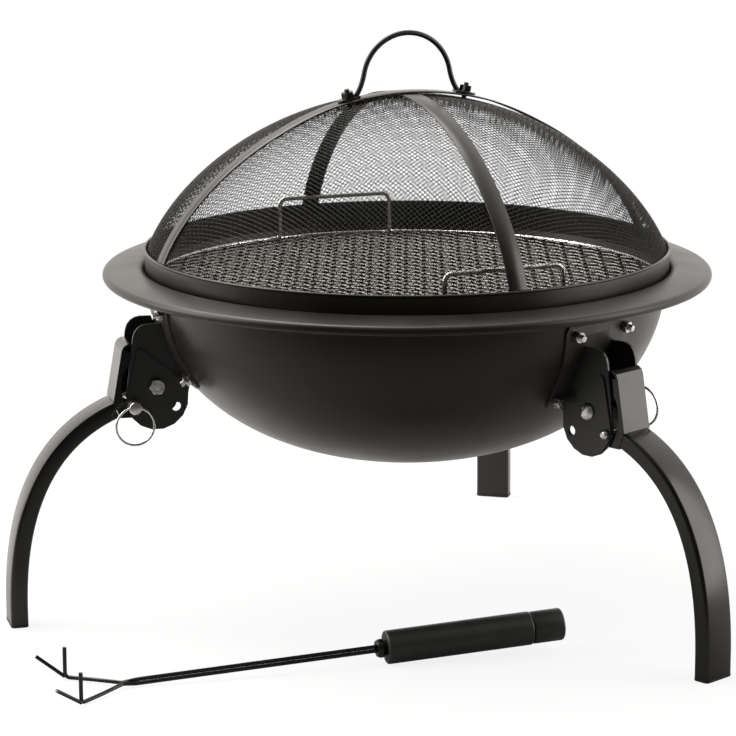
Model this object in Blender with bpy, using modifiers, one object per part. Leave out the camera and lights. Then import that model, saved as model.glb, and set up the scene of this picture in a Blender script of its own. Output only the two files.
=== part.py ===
"""A portable camping fire bowl on three folding legs.

A pressed steel bowl stands on three arched legs that fold in under it. Each leg hangs on a pivot bolt
between the two ears of a bracket bolted to the bowl, and a lock pin with a pull ring holds it out.
A wire grate sits in the mouth of the bowl, under a mesh spark guard with a carrying handle.
A twisted wire poker lies on the ground in front.

Metres, +Z up. The origin is the middle of the flat floor inside the bowl, and +Z is the bowl's axis.
"""
import math

import bmesh
import bpy
from mathutils import Matrix, Vector

MM = 0.001
GAP = 0.3 * MM

# Bowl
RIM_RADIUS = 280 * MM
FLANGE_WIDTH = 29 * MM
MOUTH_RADIUS = RIM_RADIUS - FLANGE_WIDTH
BOWL_DEPTH = 170 * MM
BOWL_SHEET = 1.5 * MM
WALL_STEP = 11 * MM
WALL_RADIUS = MOUTH_RADIUS - WALL_STEP
WALL_POWER = 2.2
WALL_UNDER = 8 * MM
WALL_REACH = BOWL_DEPTH + WALL_UNDER
WALL_SHARES = (0.306, 0.418, 0.647, 0.776, 0.894, 0.959)
FLARE_DEPTH = 18 * MM
FLARE_OUT = 9 * MM
MOUTH_ROUND = 6 * MM
RIM_DROP = 3.5 * MM
LIP_ROUND = 3 * MM
GROUND_CLEARANCE = 148 * MM
BOWL_SIDES = 40

# Legs
LEG_COUNT = 3
LEG_TURN = math.radians(15.67)
LEG_WIDTH = 34 * MM
TUBE_DEPTH = 16 * MM
TUBE_WALL = 1.5 * MM
TUBE_CORNER = 3.5 * MM
FOOT_OUT = 131.5 * MM
FOOT_RADIUS = WALL_RADIUS + FOOT_OUT
KNEE_SLOPE = math.radians(22)
KNEE_PULL = 58 * MM
SHIN_PULL = 112 * MM
CAP_SOLE = 4 * MM
CAP_SKIRT = 14 * MM
CAP_PROUD = 1.5 * MM
CHANNEL_SHEET = 2 * MM
CHANNEL_HEIGHT = 48 * MM
CHANNEL_LEAN = math.radians(10)
LIP_CURL = 8 * MM

# Hinge of a leg: heights are drops below the rim
PIVOT_OUT = 2 * MM
PIVOT_RADIUS = WALL_RADIUS + PIVOT_OUT
PIVOT_DROP = 98 * MM
KNEE_OUT = 39.5 * MM
KNEE_LOW = 14 * MM
KNEE_RADIUS = PIVOT_RADIUS + KNEE_OUT
KNEE_DROP = PIVOT_DROP + KNEE_LOW
PIVOT_BOLT = 8 * MM
PIVOT_NUT_HEIGHT = 5 * MM
PIVOT_NUT_RADIUS = 7.5 * MM
LOCK_OUT = 21.5 * MM
LOCK_DOWN = 17 * MM
LOCK_PIN = 8 * MM
HOLE_SLACK = 0.5 * MM
FOLD_ANGLE = math.radians(94)
CHEEK_ROUND = 12 * MM

# Lock pin and pull ring
PIN_HEAD_LENGTH = 12 * MM
PIN_EYE_OUT = 7.2 * MM
PIN_HEAD_RADIUS = 6 * MM
PIN_TIP = 4 * MM
RING_WIRE = 2.2 * MM
RING_RADIUS = 17.5 * MM
RING_HOLE = 2.6 * MM
FLIPPED_RING = 2

# Bracket
EAR_SHEET = 2 * MM
DOUBLER_SHEET = 1.6 * MM
DOUBLER_INSET = 1.2 * MM
EAR_TOP_DROP = 40 * MM
EAR_CORNER = 14 * MM
EAR_OUT = 24 * MM
EAR_REACH = PIVOT_RADIUS + EAR_OUT
DOUBLER_TIP_UP = 31 * MM
DOUBLER_TIP_IN = 10 * MM
LOBE_RADIUS = 29 * MM
LOBE_IN = 1 * MM
LOBE_LOW = 12 * MM
LOBE_CENTRE_RADIUS = PIVOT_RADIUS - LOBE_IN
LOBE_CENTRE_DROP = PIVOT_DROP + LOBE_LOW
PLATE_SHEET = 2 * MM
PLATE_GAP = 0.5 * MM
MOUNT_BOLT = 6 * MM
MOUNT_HALF_SPREAD = 31 * MM
MOUNT_TOP_DROP = 29 * MM
MOUNT_SPAN = 60 * MM
MOUNT_DROPS = (MOUNT_TOP_DROP, MOUNT_TOP_DROP + MOUNT_SPAN)
PLATE_OVER = 11 * MM
PLATE_UNDER = 12 * MM
PLATE_BESIDE_TOP = 12 * MM
PLATE_BESIDE_FOOT = 6 * MM
PLATE_TOP_DROP = MOUNT_DROPS[0] - PLATE_OVER
PLATE_FOOT_DROP = MOUNT_DROPS[1] + PLATE_UNDER
PLATE_HALF_TOP = MOUNT_HALF_SPREAD + PLATE_BESIDE_TOP
PLATE_HALF_FOOT = MOUNT_HALF_SPREAD + PLATE_BESIDE_FOOT
MOUNT_PROUD = 12 * MM
NUT_HEIGHT = 4.6 * MM
NUT_RADIUS = 5.6 * MM
HEAD_RADIUS = 6.5 * MM

# Lid
BAND_TOP = 17.5 * MM
BAND_OUT = 2.4 * MM
BAND_RADIUS = WALL_RADIUS + BAND_OUT
BAND_FOOT_EASE = 0.6 * MM
BAND_SHEET = 1.2 * MM
BAND_BEAD = 2.2 * MM
DOME_HEIGHT = 158.5 * MM
DOME_OUT = 3.6 * MM
DOME_RADIUS = BAND_RADIUS + DOME_OUT
SCREEN_SHEET = 1.2 * MM
SCREEN_HEM = 9 * MM
STRAP_WIDTH = 17.5 * MM
STRAP_SHEET = 1.5 * MM
STRAP_TURN = math.radians(21)
STRAP_STEPS = 12
STRAP_RISE_START = 80 * MM
STRAP_RISE_END = 130 * MM
HANDLE_WIRE = 4.8 * MM
HANDLE_ARC = 43.3 * MM
HANDLE_TOP = 56 * MM
HANDLE_FOOT = 51.5 * MM
HANDLE_TAB_LENGTH = 21 * MM
HANDLE_TAB_WIDTH = 11 * MM
HANDLE_TAB_SHEET = 2 * MM
HANDLE_TAB_SHIFT = 1 * MM
HANDLE_BOLT_OUT = 6 * MM
HANDLE_BOLT_AT = HANDLE_FOOT + HANDLE_BOLT_OUT
HANDLE_BOLT = 5 * MM

# Grate
GRATE_IN = 4 * MM
GRATE_RADIUS = WALL_RADIUS - GRATE_IN
GRATE_RING_WIRE = 5 * MM
GRATE_BAR = 2.4 * MM
GRATE_PITCH = 48 * MM
GRATE_HANDLE_WIRE = 4.5 * MM
GRATE_HANDLE_LENGTH = 114 * MM
GRATE_HANDLE_HEIGHT = 43 * MM
GRATE_HANDLE_IN = 28 * MM
GRATE_HANDLE_RADIUS = GRATE_RADIUS - GRATE_HANDLE_IN
GRATE_HANDLE_TURNS = (math.radians(110), math.radians(-66))

# Poker
POKER_WIRE = 3.6 * MM
POKER_TWIST_PITCH = 48 * MM
POKER_TWIST_STEPS = 6
POKER_GRIP_RADIUS = 15 * MM
POKER_GRIP_LENGTH = 164 * MM
POKER_CAP_LENGTH = 29 * MM
POKER_FERRULE_LENGTH = 8 * MM
POKER_LEFT = 245 * MM
POKER_FRONT = 289 * MM
POKER_HEADING = math.radians(16.6)
POKER_REACH = 400 * MM
FORK_REACH = 43 * MM
FORK_HALF_SPREAD = 37 * MM
PRONG_HEIGHT = 27 * MM
SPUR_BACK = 23 * MM
SPUR_OUT = 12.5 * MM
SPUR_RISE = 17 * MM


# Shared helpers

def clear_scene():
    for item in list(bpy.data.objects):
        bpy.data.objects.remove(item, do_unlink=True)


def new_collection(name):
    collection = bpy.data.collections.new(name)
    bpy.context.scene.collection.children.link(collection)
    return collection


def new_material(name, colour, metallic, roughness):
    material = bpy.data.materials.new(name)
    material.use_nodes = True
    shader = material.node_tree.nodes["Principled BSDF"]
    shader.inputs["Base Color"].default_value = (*colour, 1.0)
    shader.inputs["Metallic"].default_value = metallic
    shader.inputs["Roughness"].default_value = roughness
    return material


clear_scene()
MODEL = new_collection("fire_pit")
HELPERS = new_collection("cutters")
BLACK_PAINT = new_material("black_paint", (0.035, 0.033, 0.031), 0.0, 0.42)
LEG_PAINT = new_material("leg_paint", (0.015, 0.015, 0.015), 0.0, 0.28)
SCREEN_WIRE = new_material("screen_wire", (0.03, 0.03, 0.03), 0.3, 0.5)
ZINC = new_material("zinc", (0.72, 0.72, 0.70), 1.0, 0.28)
CHROME = new_material("chrome", (0.80, 0.80, 0.80), 1.0, 0.14)
GRIP_PLASTIC = new_material("grip_plastic", (0.02, 0.02, 0.02), 0.0, 0.45)


def place(item, parent=None, location=(0, 0, 0), rotation=None, helper=False):
    (HELPERS if helper else MODEL).objects.link(item)
    item.parent = parent
    item.location = location
    if rotation is not None:
        item.rotation_euler = rotation.to_euler()
    if helper:
        item.hide_render = True
        item.display_type = "WIRE"
    return item


def marker(name, parent=None, location=(0, 0, 0), rotation=None):
    return place(bpy.data.objects.new(name, None), parent, location, rotation)


def smooth(mesh, angle=40):
    mesh.shade_smooth()
    mesh.set_sharp_from_angle(angle=math.radians(angle))


def mesh_object(name, mesh, material, **placing):
    if material is not None:
        mesh.materials.append(material)
    return place(bpy.data.objects.new(name, mesh), **placing)


def curve_to_mesh(curve, turn=Matrix.Identity(4)):
    """Turns a curve into a closed mesh, with its end caps welded on."""
    holder = bpy.data.objects.new(curve.name, curve)
    bpy.context.scene.collection.objects.link(holder)
    bpy.context.view_layer.update()
    mesh = bpy.data.meshes.new_from_object(holder.evaluated_get(bpy.context.evaluated_depsgraph_get()))
    bpy.data.objects.remove(holder, do_unlink=True)
    body = bmesh.new()
    body.from_mesh(mesh)
    bmesh.ops.remove_doubles(body, verts=body.verts, dist=1e-6)
    bmesh.ops.recalc_face_normals(body, faces=body.faces)
    body.transform(turn)
    body.to_mesh(mesh)
    body.free()
    return mesh


def flat_mesh(name, loops, thickness, turn=Matrix.Identity(4)):
    """A flat outline, with holes where loops lie inside others, thickened about its own plane."""
    curve = bpy.data.curves.new(name, "CURVE")
    curve.dimensions = "2D"
    curve.fill_mode = "BOTH"
    curve.extrude = thickness / 2
    for loop in loops:
        spline = curve.splines.new("POLY")
        spline.points.add(len(loop) - 1)
        for point, (x, y) in zip(spline.points, loop):
            point.co = (x, y, 0, 1)
        spline.use_cyclic_u = True
    return curve_to_mesh(curve, turn)


# Takes an outline drawn as (radius, height) into the upright plane through the axis
UPRIGHT = Matrix.Rotation(math.pi / 2, 4, "X")
# Lays a shape drawn about Z along Y instead, the direction of a leg's pivot
SIDEWAYS = Matrix.Rotation(-math.pi / 2, 4, "X")


def side_plate(name, loops, thickness, offset, origin=(0, 0)):
    """A plate that stands in the plane of a leg, at a sideways offset."""
    moved = [[(x - origin[0], z - origin[1]) for x, z in loop] for loop in loops]
    return flat_mesh(name, moved, thickness, Matrix.Translation((0, offset, 0)) @ UPRIGHT)


def welded(mesh):
    """Joins points that meet and faces all sides outwards."""
    body = bmesh.new()
    body.from_mesh(mesh)
    bmesh.ops.remove_doubles(body, verts=body.verts, dist=1e-6)
    bmesh.ops.recalc_face_normals(body, faces=body.faces)
    body.to_mesh(mesh)
    body.free()
    return mesh


def wire_mesh(name, points, diameter, resolution=2, cyclic=False):
    curve = bpy.data.curves.new(name, "CURVE")
    curve.dimensions = "3D"
    curve.bevel_depth = diameter / 2
    curve.bevel_resolution = resolution
    curve.use_fill_caps = not cyclic
    spline = curve.splines.new("POLY")
    spline.points.add(len(points) - 1)
    for point, place_at in zip(spline.points, points):
        point.co = (*place_at, 1)
    spline.use_cyclic_u = cyclic
    return curve_to_mesh(curve)


def turned_mesh(name, profile, steps, angle=math.tau, sheet=None):
    """Revolves a profile of (radius, height) about Z. Its outer side runs from top to bottom."""
    mesh = bpy.data.meshes.new(name)
    edges = [(i, i + 1) for i in range(len(profile) - 1)]
    mesh.from_pydata([(r, 0, z) for r, z in profile], edges, [])
    holder = bpy.data.objects.new(name, mesh)
    bpy.context.scene.collection.objects.link(holder)
    screw = holder.modifiers.new("turn", "SCREW")
    screw.angle = angle
    screw.steps = steps
    screw.render_steps = steps
    screw.use_merge_vertices = True
    screw.merge_threshold = 1e-6
    if sheet:
        shell = holder.modifiers.new("sheet", "SOLIDIFY")
        shell.thickness = sheet
        shell.offset = -1
        shell.use_even_offset = True
    bpy.context.view_layer.update()
    result = bpy.data.meshes.new_from_object(holder.evaluated_get(bpy.context.evaluated_depsgraph_get()))
    bpy.data.objects.remove(holder, do_unlink=True)
    return result


def rod_mesh(name, radius, start, end, sides=16, axis="Z"):
    body = bmesh.new()
    bmesh.ops.create_cone(body, cap_ends=True, segments=sides, radius1=radius, radius2=radius,
                          depth=end - start)
    bmesh.ops.translate(body, verts=body.verts, vec=(0, 0, (start + end) / 2))
    if axis == "Y":
        body.transform(SIDEWAYS)
    elif axis == "X":
        body.transform(Matrix.Rotation(math.pi / 2, 4, "Y"))
    mesh = bpy.data.meshes.new(name)
    body.to_mesh(mesh)
    body.free()
    return mesh


def box_mesh(name, size):
    body = bmesh.new()
    bmesh.ops.create_cube(body, size=1, matrix=Matrix.Diagonal((*size, 1)))
    mesh = bpy.data.meshes.new(name)
    body.to_mesh(mesh)
    body.free()
    return mesh


def combine(item, mesh, operation, parent=None, location=(0, 0, 0), rotation=None):
    """Adds a Boolean modifier with its own hidden helper object."""
    tool = mesh_object("%s_%s" % (item.name, mesh.name), mesh, None, parent=parent, location=location,
                       rotation=rotation, helper=True)
    change = item.modifiers.new(tool.name, "BOOLEAN")
    change.operation = operation
    change.solver = "EXACT"
    change.object = tool


def baked(item):
    """Applies an object's modifiers, removes it with its helpers and gives back the plain mesh."""
    bpy.context.view_layer.update()
    mesh = bpy.data.meshes.new_from_object(item.evaluated_get(bpy.context.evaluated_depsgraph_get()))
    helpers = [change.object for change in item.modifiers if change.type == "BOOLEAN"]
    for spent in helpers + [item]:
        bpy.data.objects.remove(spent, do_unlink=True)
    body = bmesh.new()
    body.from_mesh(mesh)
    bmesh.ops.remove_doubles(body, verts=body.verts, dist=5e-6)
    bmesh.ops.dissolve_degenerate(body, edges=body.edges, dist=5e-6)
    body.to_mesh(mesh)
    body.free()
    return mesh


def arc(centre, radius, start, end, steps):
    angles = [start + (end - start) * i / steps for i in range(steps + 1)]
    return [(centre[0] + radius * math.cos(a), centre[1] + radius * math.sin(a)) for a in angles]


def hull(points):
    """The outline that a tight band round the points would take, anticlockwise."""
    ordered = sorted(set(points))

    def half(run):
        chain = []
        for p in run:
            while len(chain) > 1:
                (ax, ay), (bx, by) = chain[-2], chain[-1]
                if (bx - ax) * (p[1] - ay) - (by - ay) * (p[0] - ax) > 0:
                    break
                chain.pop()
            chain.append(p)
        return chain[:-1]

    return half(ordered) + half(ordered[::-1])


def turn_about(point, centre, angle):
    """Turns a point of (radius, height) as a leg folds inwards by an angle."""
    x = point[0] - centre[0]
    z = point[1] - centre[1]
    return (centre[0] + x * math.cos(angle) + z * math.sin(angle),
            centre[1] - x * math.sin(angle) + z * math.cos(angle))


# Bowl

RIM_Z = BOWL_DEPTH - BOWL_SHEET
GROUND_Z = -BOWL_SHEET - GROUND_CLEARANCE


def at_drop(drop):
    """Height of something that lies a drop below the rim."""
    return RIM_Z - drop


def wall_radius(drop):
    """Outer radius of the bowl at a drop below the rim: a full curve, flared near the mouth."""
    full = WALL_RADIUS * (1 - (max(drop, 0) / WALL_REACH) ** WALL_POWER) ** (1 / WALL_POWER)
    return full + FLARE_OUT * max(0, 1 - drop / FLARE_DEPTH) ** 2


def wall_normal(drop):
    """Outward unit normal (radial, up) of the bowl's outer face."""
    step = 0.5 * MM
    run = wall_radius(drop + step) - wall_radius(drop - step)
    length = math.hypot(2 * step, run)
    return 2 * step / length, run / length


def bore_radius(drop):
    """Inner radius of the bowl at a drop below its mouth."""
    return wall_radius(drop) - BOWL_SHEET / wall_normal(drop)[0]


def seat_drop(radius):
    """How far down the mouth something round of this radius goes before the wall stops it."""
    drop = MOUTH_ROUND
    while bore_radius(drop) > radius:
        drop += 0.1 * MM
    return drop


def off_wall(drop, distance):
    """The point (radius, height) at a distance from the bowl's outer face."""
    out, up = wall_normal(drop)
    return wall_radius(drop) + out * distance, at_drop(drop) + up * distance


# Stations down the wall, shared by the bowl and by what is curved to lie against it
WALL_DROPS = sorted((MOUTH_ROUND, 0.7 * FLARE_DEPTH, FLARE_DEPTH, *MOUNT_DROPS,
                     *(share * BOWL_DEPTH for share in WALL_SHARES), BOWL_DEPTH))


def bowl_profile():
    """The bowl's outer face, from the curled lip of the flange down to the middle of the floor."""
    lip = arc((RIM_RADIUS - LIP_ROUND, RIM_Z - RIM_DROP - LIP_ROUND), LIP_ROUND,
              math.radians(-25), math.radians(80), 3)
    neck = wall_radius(MOUTH_ROUND)
    mouth = [(MOUTH_RADIUS, RIM_Z), (neck + 0.3 * (MOUTH_RADIUS - neck), RIM_Z - 0.3 * MOUTH_ROUND)]
    wall = [(wall_radius(drop), RIM_Z - drop) for drop in WALL_DROPS]
    return lip, mouth, wall


def build_bowl():
    lip, mouth, wall = bowl_profile()
    profile = lip + mouth + wall + [(0, RIM_Z - BOWL_DEPTH)]
    mesh = turned_mesh("bowl", profile, BOWL_SIDES, sheet=BOWL_SHEET)
    smooth(mesh, 50)
    return mesh_object("bowl", mesh, BLACK_PAINT)


# Legs

PIVOT = (PIVOT_RADIUS, at_drop(PIVOT_DROP))
LOCK = (PIVOT[0] + LOCK_OUT, PIVOT[1] - LOCK_DOWN)
STOW = turn_about(LOCK, PIVOT, FOLD_ANGLE)
LOBE = (LOBE_CENTRE_RADIUS, at_drop(LOBE_CENTRE_DROP))
KNEE = (KNEE_RADIUS, at_drop(KNEE_DROP))
EAR_INNER = LEG_WIDTH / 2 + 0.4 * MM
EAR_MIDDLE = EAR_INNER + EAR_SHEET / 2
DOUBLER_OUTER = EAR_INNER + EAR_SHEET + DOUBLER_SHEET
LOCK_ARM = math.hypot(LOCK_OUT, LOCK_DOWN)
PIN_EYE_AT = DOUBLER_OUTER + GAP + PIN_EYE_OUT
PIVOT_NUT_END = DOUBLER_OUTER + GAP + PIVOT_NUT_HEIGHT
# Flipped over the top, a pull ring leans back on the nut of the pivot bolt
FLIPPED_LEAN = math.pi + math.asin((PIN_EYE_AT - PIVOT_NUT_END - RING_WIRE / 2 - GAP) / (1.4 * RING_RADIUS))


def circle(centre, radius, sides=16):
    return arc(centre, radius, 0, math.tau, sides)[:-1]


def ear_outline():
    """One ear of the bracket: out from the bowl, round its top corner and down to the lobe."""
    top = at_drop(EAR_TOP_DROP)
    corner = (EAR_REACH - 3 * MM - EAR_CORNER, top - EAR_CORNER)
    low = LOBE_CENTRE_DROP - LOBE_RADIUS / 2
    middle = [off_wall(low + (EAR_TOP_DROP - low) * i / 3, PLATE_GAP + PLATE_SHEET / 2) for i in range(4)]
    buried = [(math.sqrt(r ** 2 - EAR_MIDDLE ** 2), z) for r, z in middle]
    lobe = arc(LOBE, LOBE_RADIUS, math.radians(172), math.radians(368), 9)
    shoulder = arc(corner, EAR_CORNER, math.radians(8), math.radians(90), 4)
    return lobe + shoulder + buried[::-1]


def doubler_outline():
    tip = (EAR_REACH - DOUBLER_TIP_IN, PIVOT[1] + DOUBLER_TIP_UP)
    return hull(circle(LOBE, LOBE_RADIUS - DOUBLER_INSET, 15) + circle(tip, 4 * MM, 6))


def mount_bolt_frames():
    """Place and outward turn of each bracket bolt, at the bowl's outer face."""
    frames = []
    for drop in MOUNT_DROPS:
        out, up = wall_normal(drop)
        radius = wall_radius(drop)
        for side in (-1, 1):
            swing = side * math.asin(MOUNT_HALF_SPREAD / radius)
            spot = Vector((radius * math.cos(swing), radius * math.sin(swing), at_drop(drop)))
            normal = Vector((out * math.cos(swing), out * math.sin(swing), up))
            frames.append((spot, normal.to_track_quat("Z", "Y").to_matrix()))
    return frames


def mount_drill(name):
    return rod_mesh(name, MOUNT_BOLT / 2 + HOLE_SLACK, -8 * MM, 8 * MM, 8)


def bracket_mesh():
    """A curved plate on the bowl with two ears, each stiffened by a teardrop doubler."""
    top = PLATE_TOP_DROP - 4 * MM
    foot = PLATE_FOOT_DROP + 3 * MM
    drops = [top] + [d for d in WALL_DROPS if top < d < foot] + [foot]
    half_turn = math.asin(PLATE_HALF_TOP / WALL_RADIUS) + math.radians(2)
    face = [off_wall(d, PLATE_GAP + PLATE_SHEET) for d in drops]
    patch = turned_mesh("bracket", face, 5, angle=2 * half_turn, sheet=PLATE_SHEET)
    patch.transform(Matrix.Rotation(-half_turn, 4, "Z"))
    bracket = mesh_object("bracket", patch, None)
    corner = 8 * MM
    top = at_drop(PLATE_TOP_DROP) - corner
    foot = at_drop(PLATE_FOOT_DROP) + corner
    rounds = [(side * (half - corner), height) for side in (-1, 1)
              for half, height in ((PLATE_HALF_TOP, top), (PLATE_HALF_FOOT, foot))]
    outline = hull([p for centre in rounds for p in circle(centre, corner, 8)])
    facing = Matrix.Translation((WALL_RADIUS, 0, 0)) @ Matrix.Rotation(math.pi / 2, 4, "Z") @ UPRIGHT
    combine(bracket, flat_mesh("bracket_outline", [outline], 120 * MM, facing), "INTERSECT")
    bite = 0.8 * MM
    for side in (-1, 1):
        combine(bracket, side_plate("ear", [ear_outline()], EAR_SHEET, side * EAR_MIDDLE), "UNION")
        middle = side * (DOUBLER_OUTER - (DOUBLER_SHEET + bite) / 2)
        combine(bracket, side_plate("doubler", [doubler_outline()], DOUBLER_SHEET + bite, middle), "UNION")
    for (x, z), pin in ((PIVOT, PIVOT_BOLT), (LOCK, LOCK_PIN), (STOW, LOCK_PIN)):
        drill = rod_mesh("hole", pin / 2 + HOLE_SLACK, -30 * MM, 30 * MM, 10, "Y")
        combine(bracket, drill, "DIFFERENCE", location=(x, 0, z))
    for spot, turn in mount_bolt_frames():
        combine(bracket, mount_drill("hole"), "DIFFERENCE", location=spot, rotation=turn)
    return baked(bracket)


def mount_bolt_mesh():
    """A round-headed bolt from inside the bowl, with its nut outside on the bracket."""
    shank = MOUNT_BOLT / 2
    facet_dip = WALL_RADIUS * (1 - math.cos(math.pi / BOWL_SIDES))
    head_face = -BOWL_SHEET - GAP - facet_dip - 0.3 * MM
    nut_foot = PLATE_GAP + PLATE_SHEET + 0.4 * MM
    nut_top = nut_foot + NUT_HEIGHT
    profile = [(0, MOUNT_PROUD), (shank, MOUNT_PROUD), (shank, nut_top), (NUT_RADIUS, nut_top),
               (NUT_RADIUS, nut_foot), (shank, nut_foot), (shank, head_face), (HEAD_RADIUS, head_face),
               (0, head_face - 2.6 * MM)]
    return turned_mesh("mount_bolt", profile, 6)


def leg_path(steps=9):
    """Outer face line of the leg tube: a smooth arch from the knee, straight where the foot cap is."""
    start = Vector(KNEE)
    outer = FOOT_RADIUS + TUBE_DEPTH / 2
    end = Vector((outer, GROUND_Z + CAP_SOLE + CAP_SKIRT + 2 * MM))
    lead = start + KNEE_PULL * Vector((math.cos(KNEE_SLOPE), -math.sin(KNEE_SLOPE)))
    tail = end + Vector((0, SHIN_PULL))
    points = []
    for i in range(steps + 1):
        t = i / steps
        spot = (1 - t) ** 3 * start + 3 * (1 - t) ** 2 * t * lead + 3 * (1 - t) * t ** 2 * tail + t ** 3 * end
        slope = (1 - t) ** 2 * (lead - start) + 2 * (1 - t) * t * (tail - lead) + t ** 2 * (end - tail)
        points.append((spot, slope.normalized()))
    return points + [(Vector((outer, GROUND_Z + CAP_SOLE)), Vector((0, -1)))]


def tube_section(width, depth, corner):
    """Rounded box section as (inward, sideways), starting from its outer face at zero."""
    half = width / 2
    return [(0, -half + corner), (0, half - corner), (corner, half), (depth - corner, half),
            (depth, half - corner), (depth, -half + corner), (depth - corner, -half), (corner, -half)]


def loft_mesh(name, rings, closed_ends):
    """Joins rings of points, each with the same count, into one skin."""
    body = bmesh.new()
    rows = [[body.verts.new(point) for point in ring] for ring in rings]
    count = len(rings[0])
    for low, high in zip(rows[:-1], rows[1:]):
        for i in range(count):
            j = (i + 1) % count
            body.faces.new((low[i], low[j], high[j], high[i]))
    if closed_ends:
        body.faces.new(rows[0][::-1])
        body.faces.new(rows[-1])
    bmesh.ops.recalc_face_normals(body, faces=body.faces)
    mesh = bpy.data.meshes.new(name)
    body.to_mesh(mesh)
    body.free()
    return mesh


def leg_tube_mesh():
    """The arched box tube of a leg, open at both ends, about the pivot."""
    section = tube_section(LEG_WIDTH, TUBE_DEPTH, TUBE_CORNER)
    rings = []
    for spot, slope in leg_path():
        inward = Vector((slope[1], -slope[0]))
        rings.append([(spot[0] - PIVOT[0] + inward[0] * depth, side, spot[1] - PIVOT[1] + inward[1] * depth)
                      for depth, side in section])
    tube = mesh_object("tube", loft_mesh("tube", rings, False), None)
    wall = tube.modifiers.new("wall", "SOLIDIFY")
    wall.thickness = TUBE_WALL
    wall.offset = -1
    wall.use_even_offset = True
    return baked(tube)


def foot_sleeve(name, slack, low, high):
    """A closed block round the foot of the tube, larger than it by a slack."""
    section = tube_section(LEG_WIDTH + 2 * slack, TUBE_DEPTH + 2 * slack, TUBE_CORNER + slack)
    outer = FOOT_RADIUS + TUBE_DEPTH / 2 + slack - PIVOT[0]
    sole = GROUND_Z - PIVOT[1]
    return loft_mesh(name, [[(outer - depth, side, sole + height) for depth, side in section]
                            for height in (low, high)], True)


def foot_cap_mesh():
    """A moulded cap over the end of the tube, with a flat sole."""
    cap = mesh_object("foot_cap", foot_sleeve("foot_cap", GAP + CAP_PROUD, 0, CAP_SOLE + CAP_SKIRT), None)
    socket = foot_sleeve("socket", GAP, CAP_SOLE - GAP, CAP_SOLE + CAP_SKIRT + 5 * MM)
    combine(cap, socket, "DIFFERENCE")
    return baked(cap)


def channel_mesh():
    """The folded channel at the top of a leg: a leaning web with a curled lip, and two cheeks."""
    lean = Vector((-math.sin(CHANNEL_LEAN), math.cos(CHANNEL_LEAN)))
    inward = Vector((-lean[1], lean[0]))
    along = Vector((math.cos(KNEE_SLOPE), -math.sin(KNEE_SLOPE)))
    foot = Vector(KNEE) - along * GAP
    low = foot + Vector((along[1], -along[0])) * TUBE_DEPTH
    neck = foot + lean * CHANNEL_HEIGHT
    curl_centre = neck + inward * LIP_CURL
    start = math.atan2(-inward[1], -inward[0])
    turns = [start + math.radians(d) for d in (30, 60, 90)]

    def curl(radius):
        return [curl_centre + radius * Vector((math.cos(a), math.sin(a))) for a in turns]

    outer = [foot, neck] + curl(LIP_CURL)
    inner = [foot + inward * CHANNEL_SHEET, neck + inward * CHANNEL_SHEET] + curl(LIP_CURL - CHANNEL_SHEET)
    strip = [tuple(p) for p in outer + inner[::-1]]
    channel = mesh_object("channel", side_plate("channel", [strip], LEG_WIDTH, 0, PIVOT), None)
    slot_half = LOCK_PIN / 2 + HOLE_SLACK + 0.2 * MM
    first = math.atan2(-LOCK_DOWN, LOCK_OUT)
    last = first + FOLD_ANGLE
    slot_end = (PIVOT[0] + LOCK_ARM * math.cos(last), PIVOT[1] + LOCK_ARM * math.sin(last))
    cheek_edge = [foot + inward * 0.6 * MM, neck + inward * 0.6 * MM, low]
    outline = hull([tuple(p) for p in cheek_edge] + circle(PIVOT, CHEEK_ROUND, 13)
                   + circle(slot_end, slot_half + 3.5 * MM, 13)
                   + [p for p in circle(LOCK, CHEEK_ROUND, 13) if (Vector(p) - foot).dot(along) < 0])
    slot = arc(PIVOT, LOCK_ARM + slot_half, first, last, 10)
    slot += arc(slot_end, slot_half, last, last + math.pi, 4)[1:-1]
    slot += arc(PIVOT, LOCK_ARM - slot_half, last, first, 8)
    slot += arc(LOCK, slot_half, first + math.pi, first + math.tau, 4)[1:-1]
    bore = circle(PIVOT, PIVOT_BOLT / 2 + HOLE_SLACK, 13)
    for side in (-1, 1):
        middle = side * (LEG_WIDTH - CHANNEL_SHEET) / 2
        combine(channel, side_plate("cheek", [outline, bore, slot], CHANNEL_SHEET, middle, PIVOT), "UNION")
    return baked(channel)


def pivot_bolt_mesh():
    """Round-headed bolt through both ears, with its nut on the ring side."""
    shank = PIVOT_BOLT / 2
    face = DOUBLER_OUTER + GAP
    tip = PIVOT_NUT_END - 0.6 * MM
    profile = [(0, tip), (shank, tip), (shank, -face), (7.5 * MM, -face), (5.5 * MM, -face - 3 * MM),
               (0, -face - 3.6 * MM)]
    mesh = turned_mesh("pivot_bolt", profile, 12)
    mesh.transform(SIDEWAYS)
    bolt = mesh_object("pivot_bolt", mesh, None)
    combine(bolt, rod_mesh("nut", PIVOT_NUT_RADIUS, face, PIVOT_NUT_END, 6, "Y"), "UNION")
    return baked(bolt)


def lock_pin_mesh():
    """The lock pin, with a collar on the ear and a cross hole for its pull ring."""
    shank = LOCK_PIN / 2
    face = DOUBLER_OUTER + GAP
    top = face + PIN_HEAD_LENGTH
    tip = -face - PIN_TIP
    profile = [(0, top), (PIN_HEAD_RADIUS - 1 * MM, top), (PIN_HEAD_RADIUS, top - 1 * MM), (PIN_HEAD_RADIUS, face),
               (shank, face), (shank, tip + 1.5 * MM), (shank - 1.5 * MM, tip), (0, tip)]
    mesh = turned_mesh("lock_pin", profile, 10)
    mesh.transform(SIDEWAYS)
    pin = mesh_object("lock_pin", mesh, None)
    eye = rod_mesh("eye", RING_HOLE, -12 * MM, 12 * MM, 10, "X")
    combine(pin, eye, "DIFFERENCE", location=(0, PIN_EYE_AT, 0))
    return baked(pin)


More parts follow.
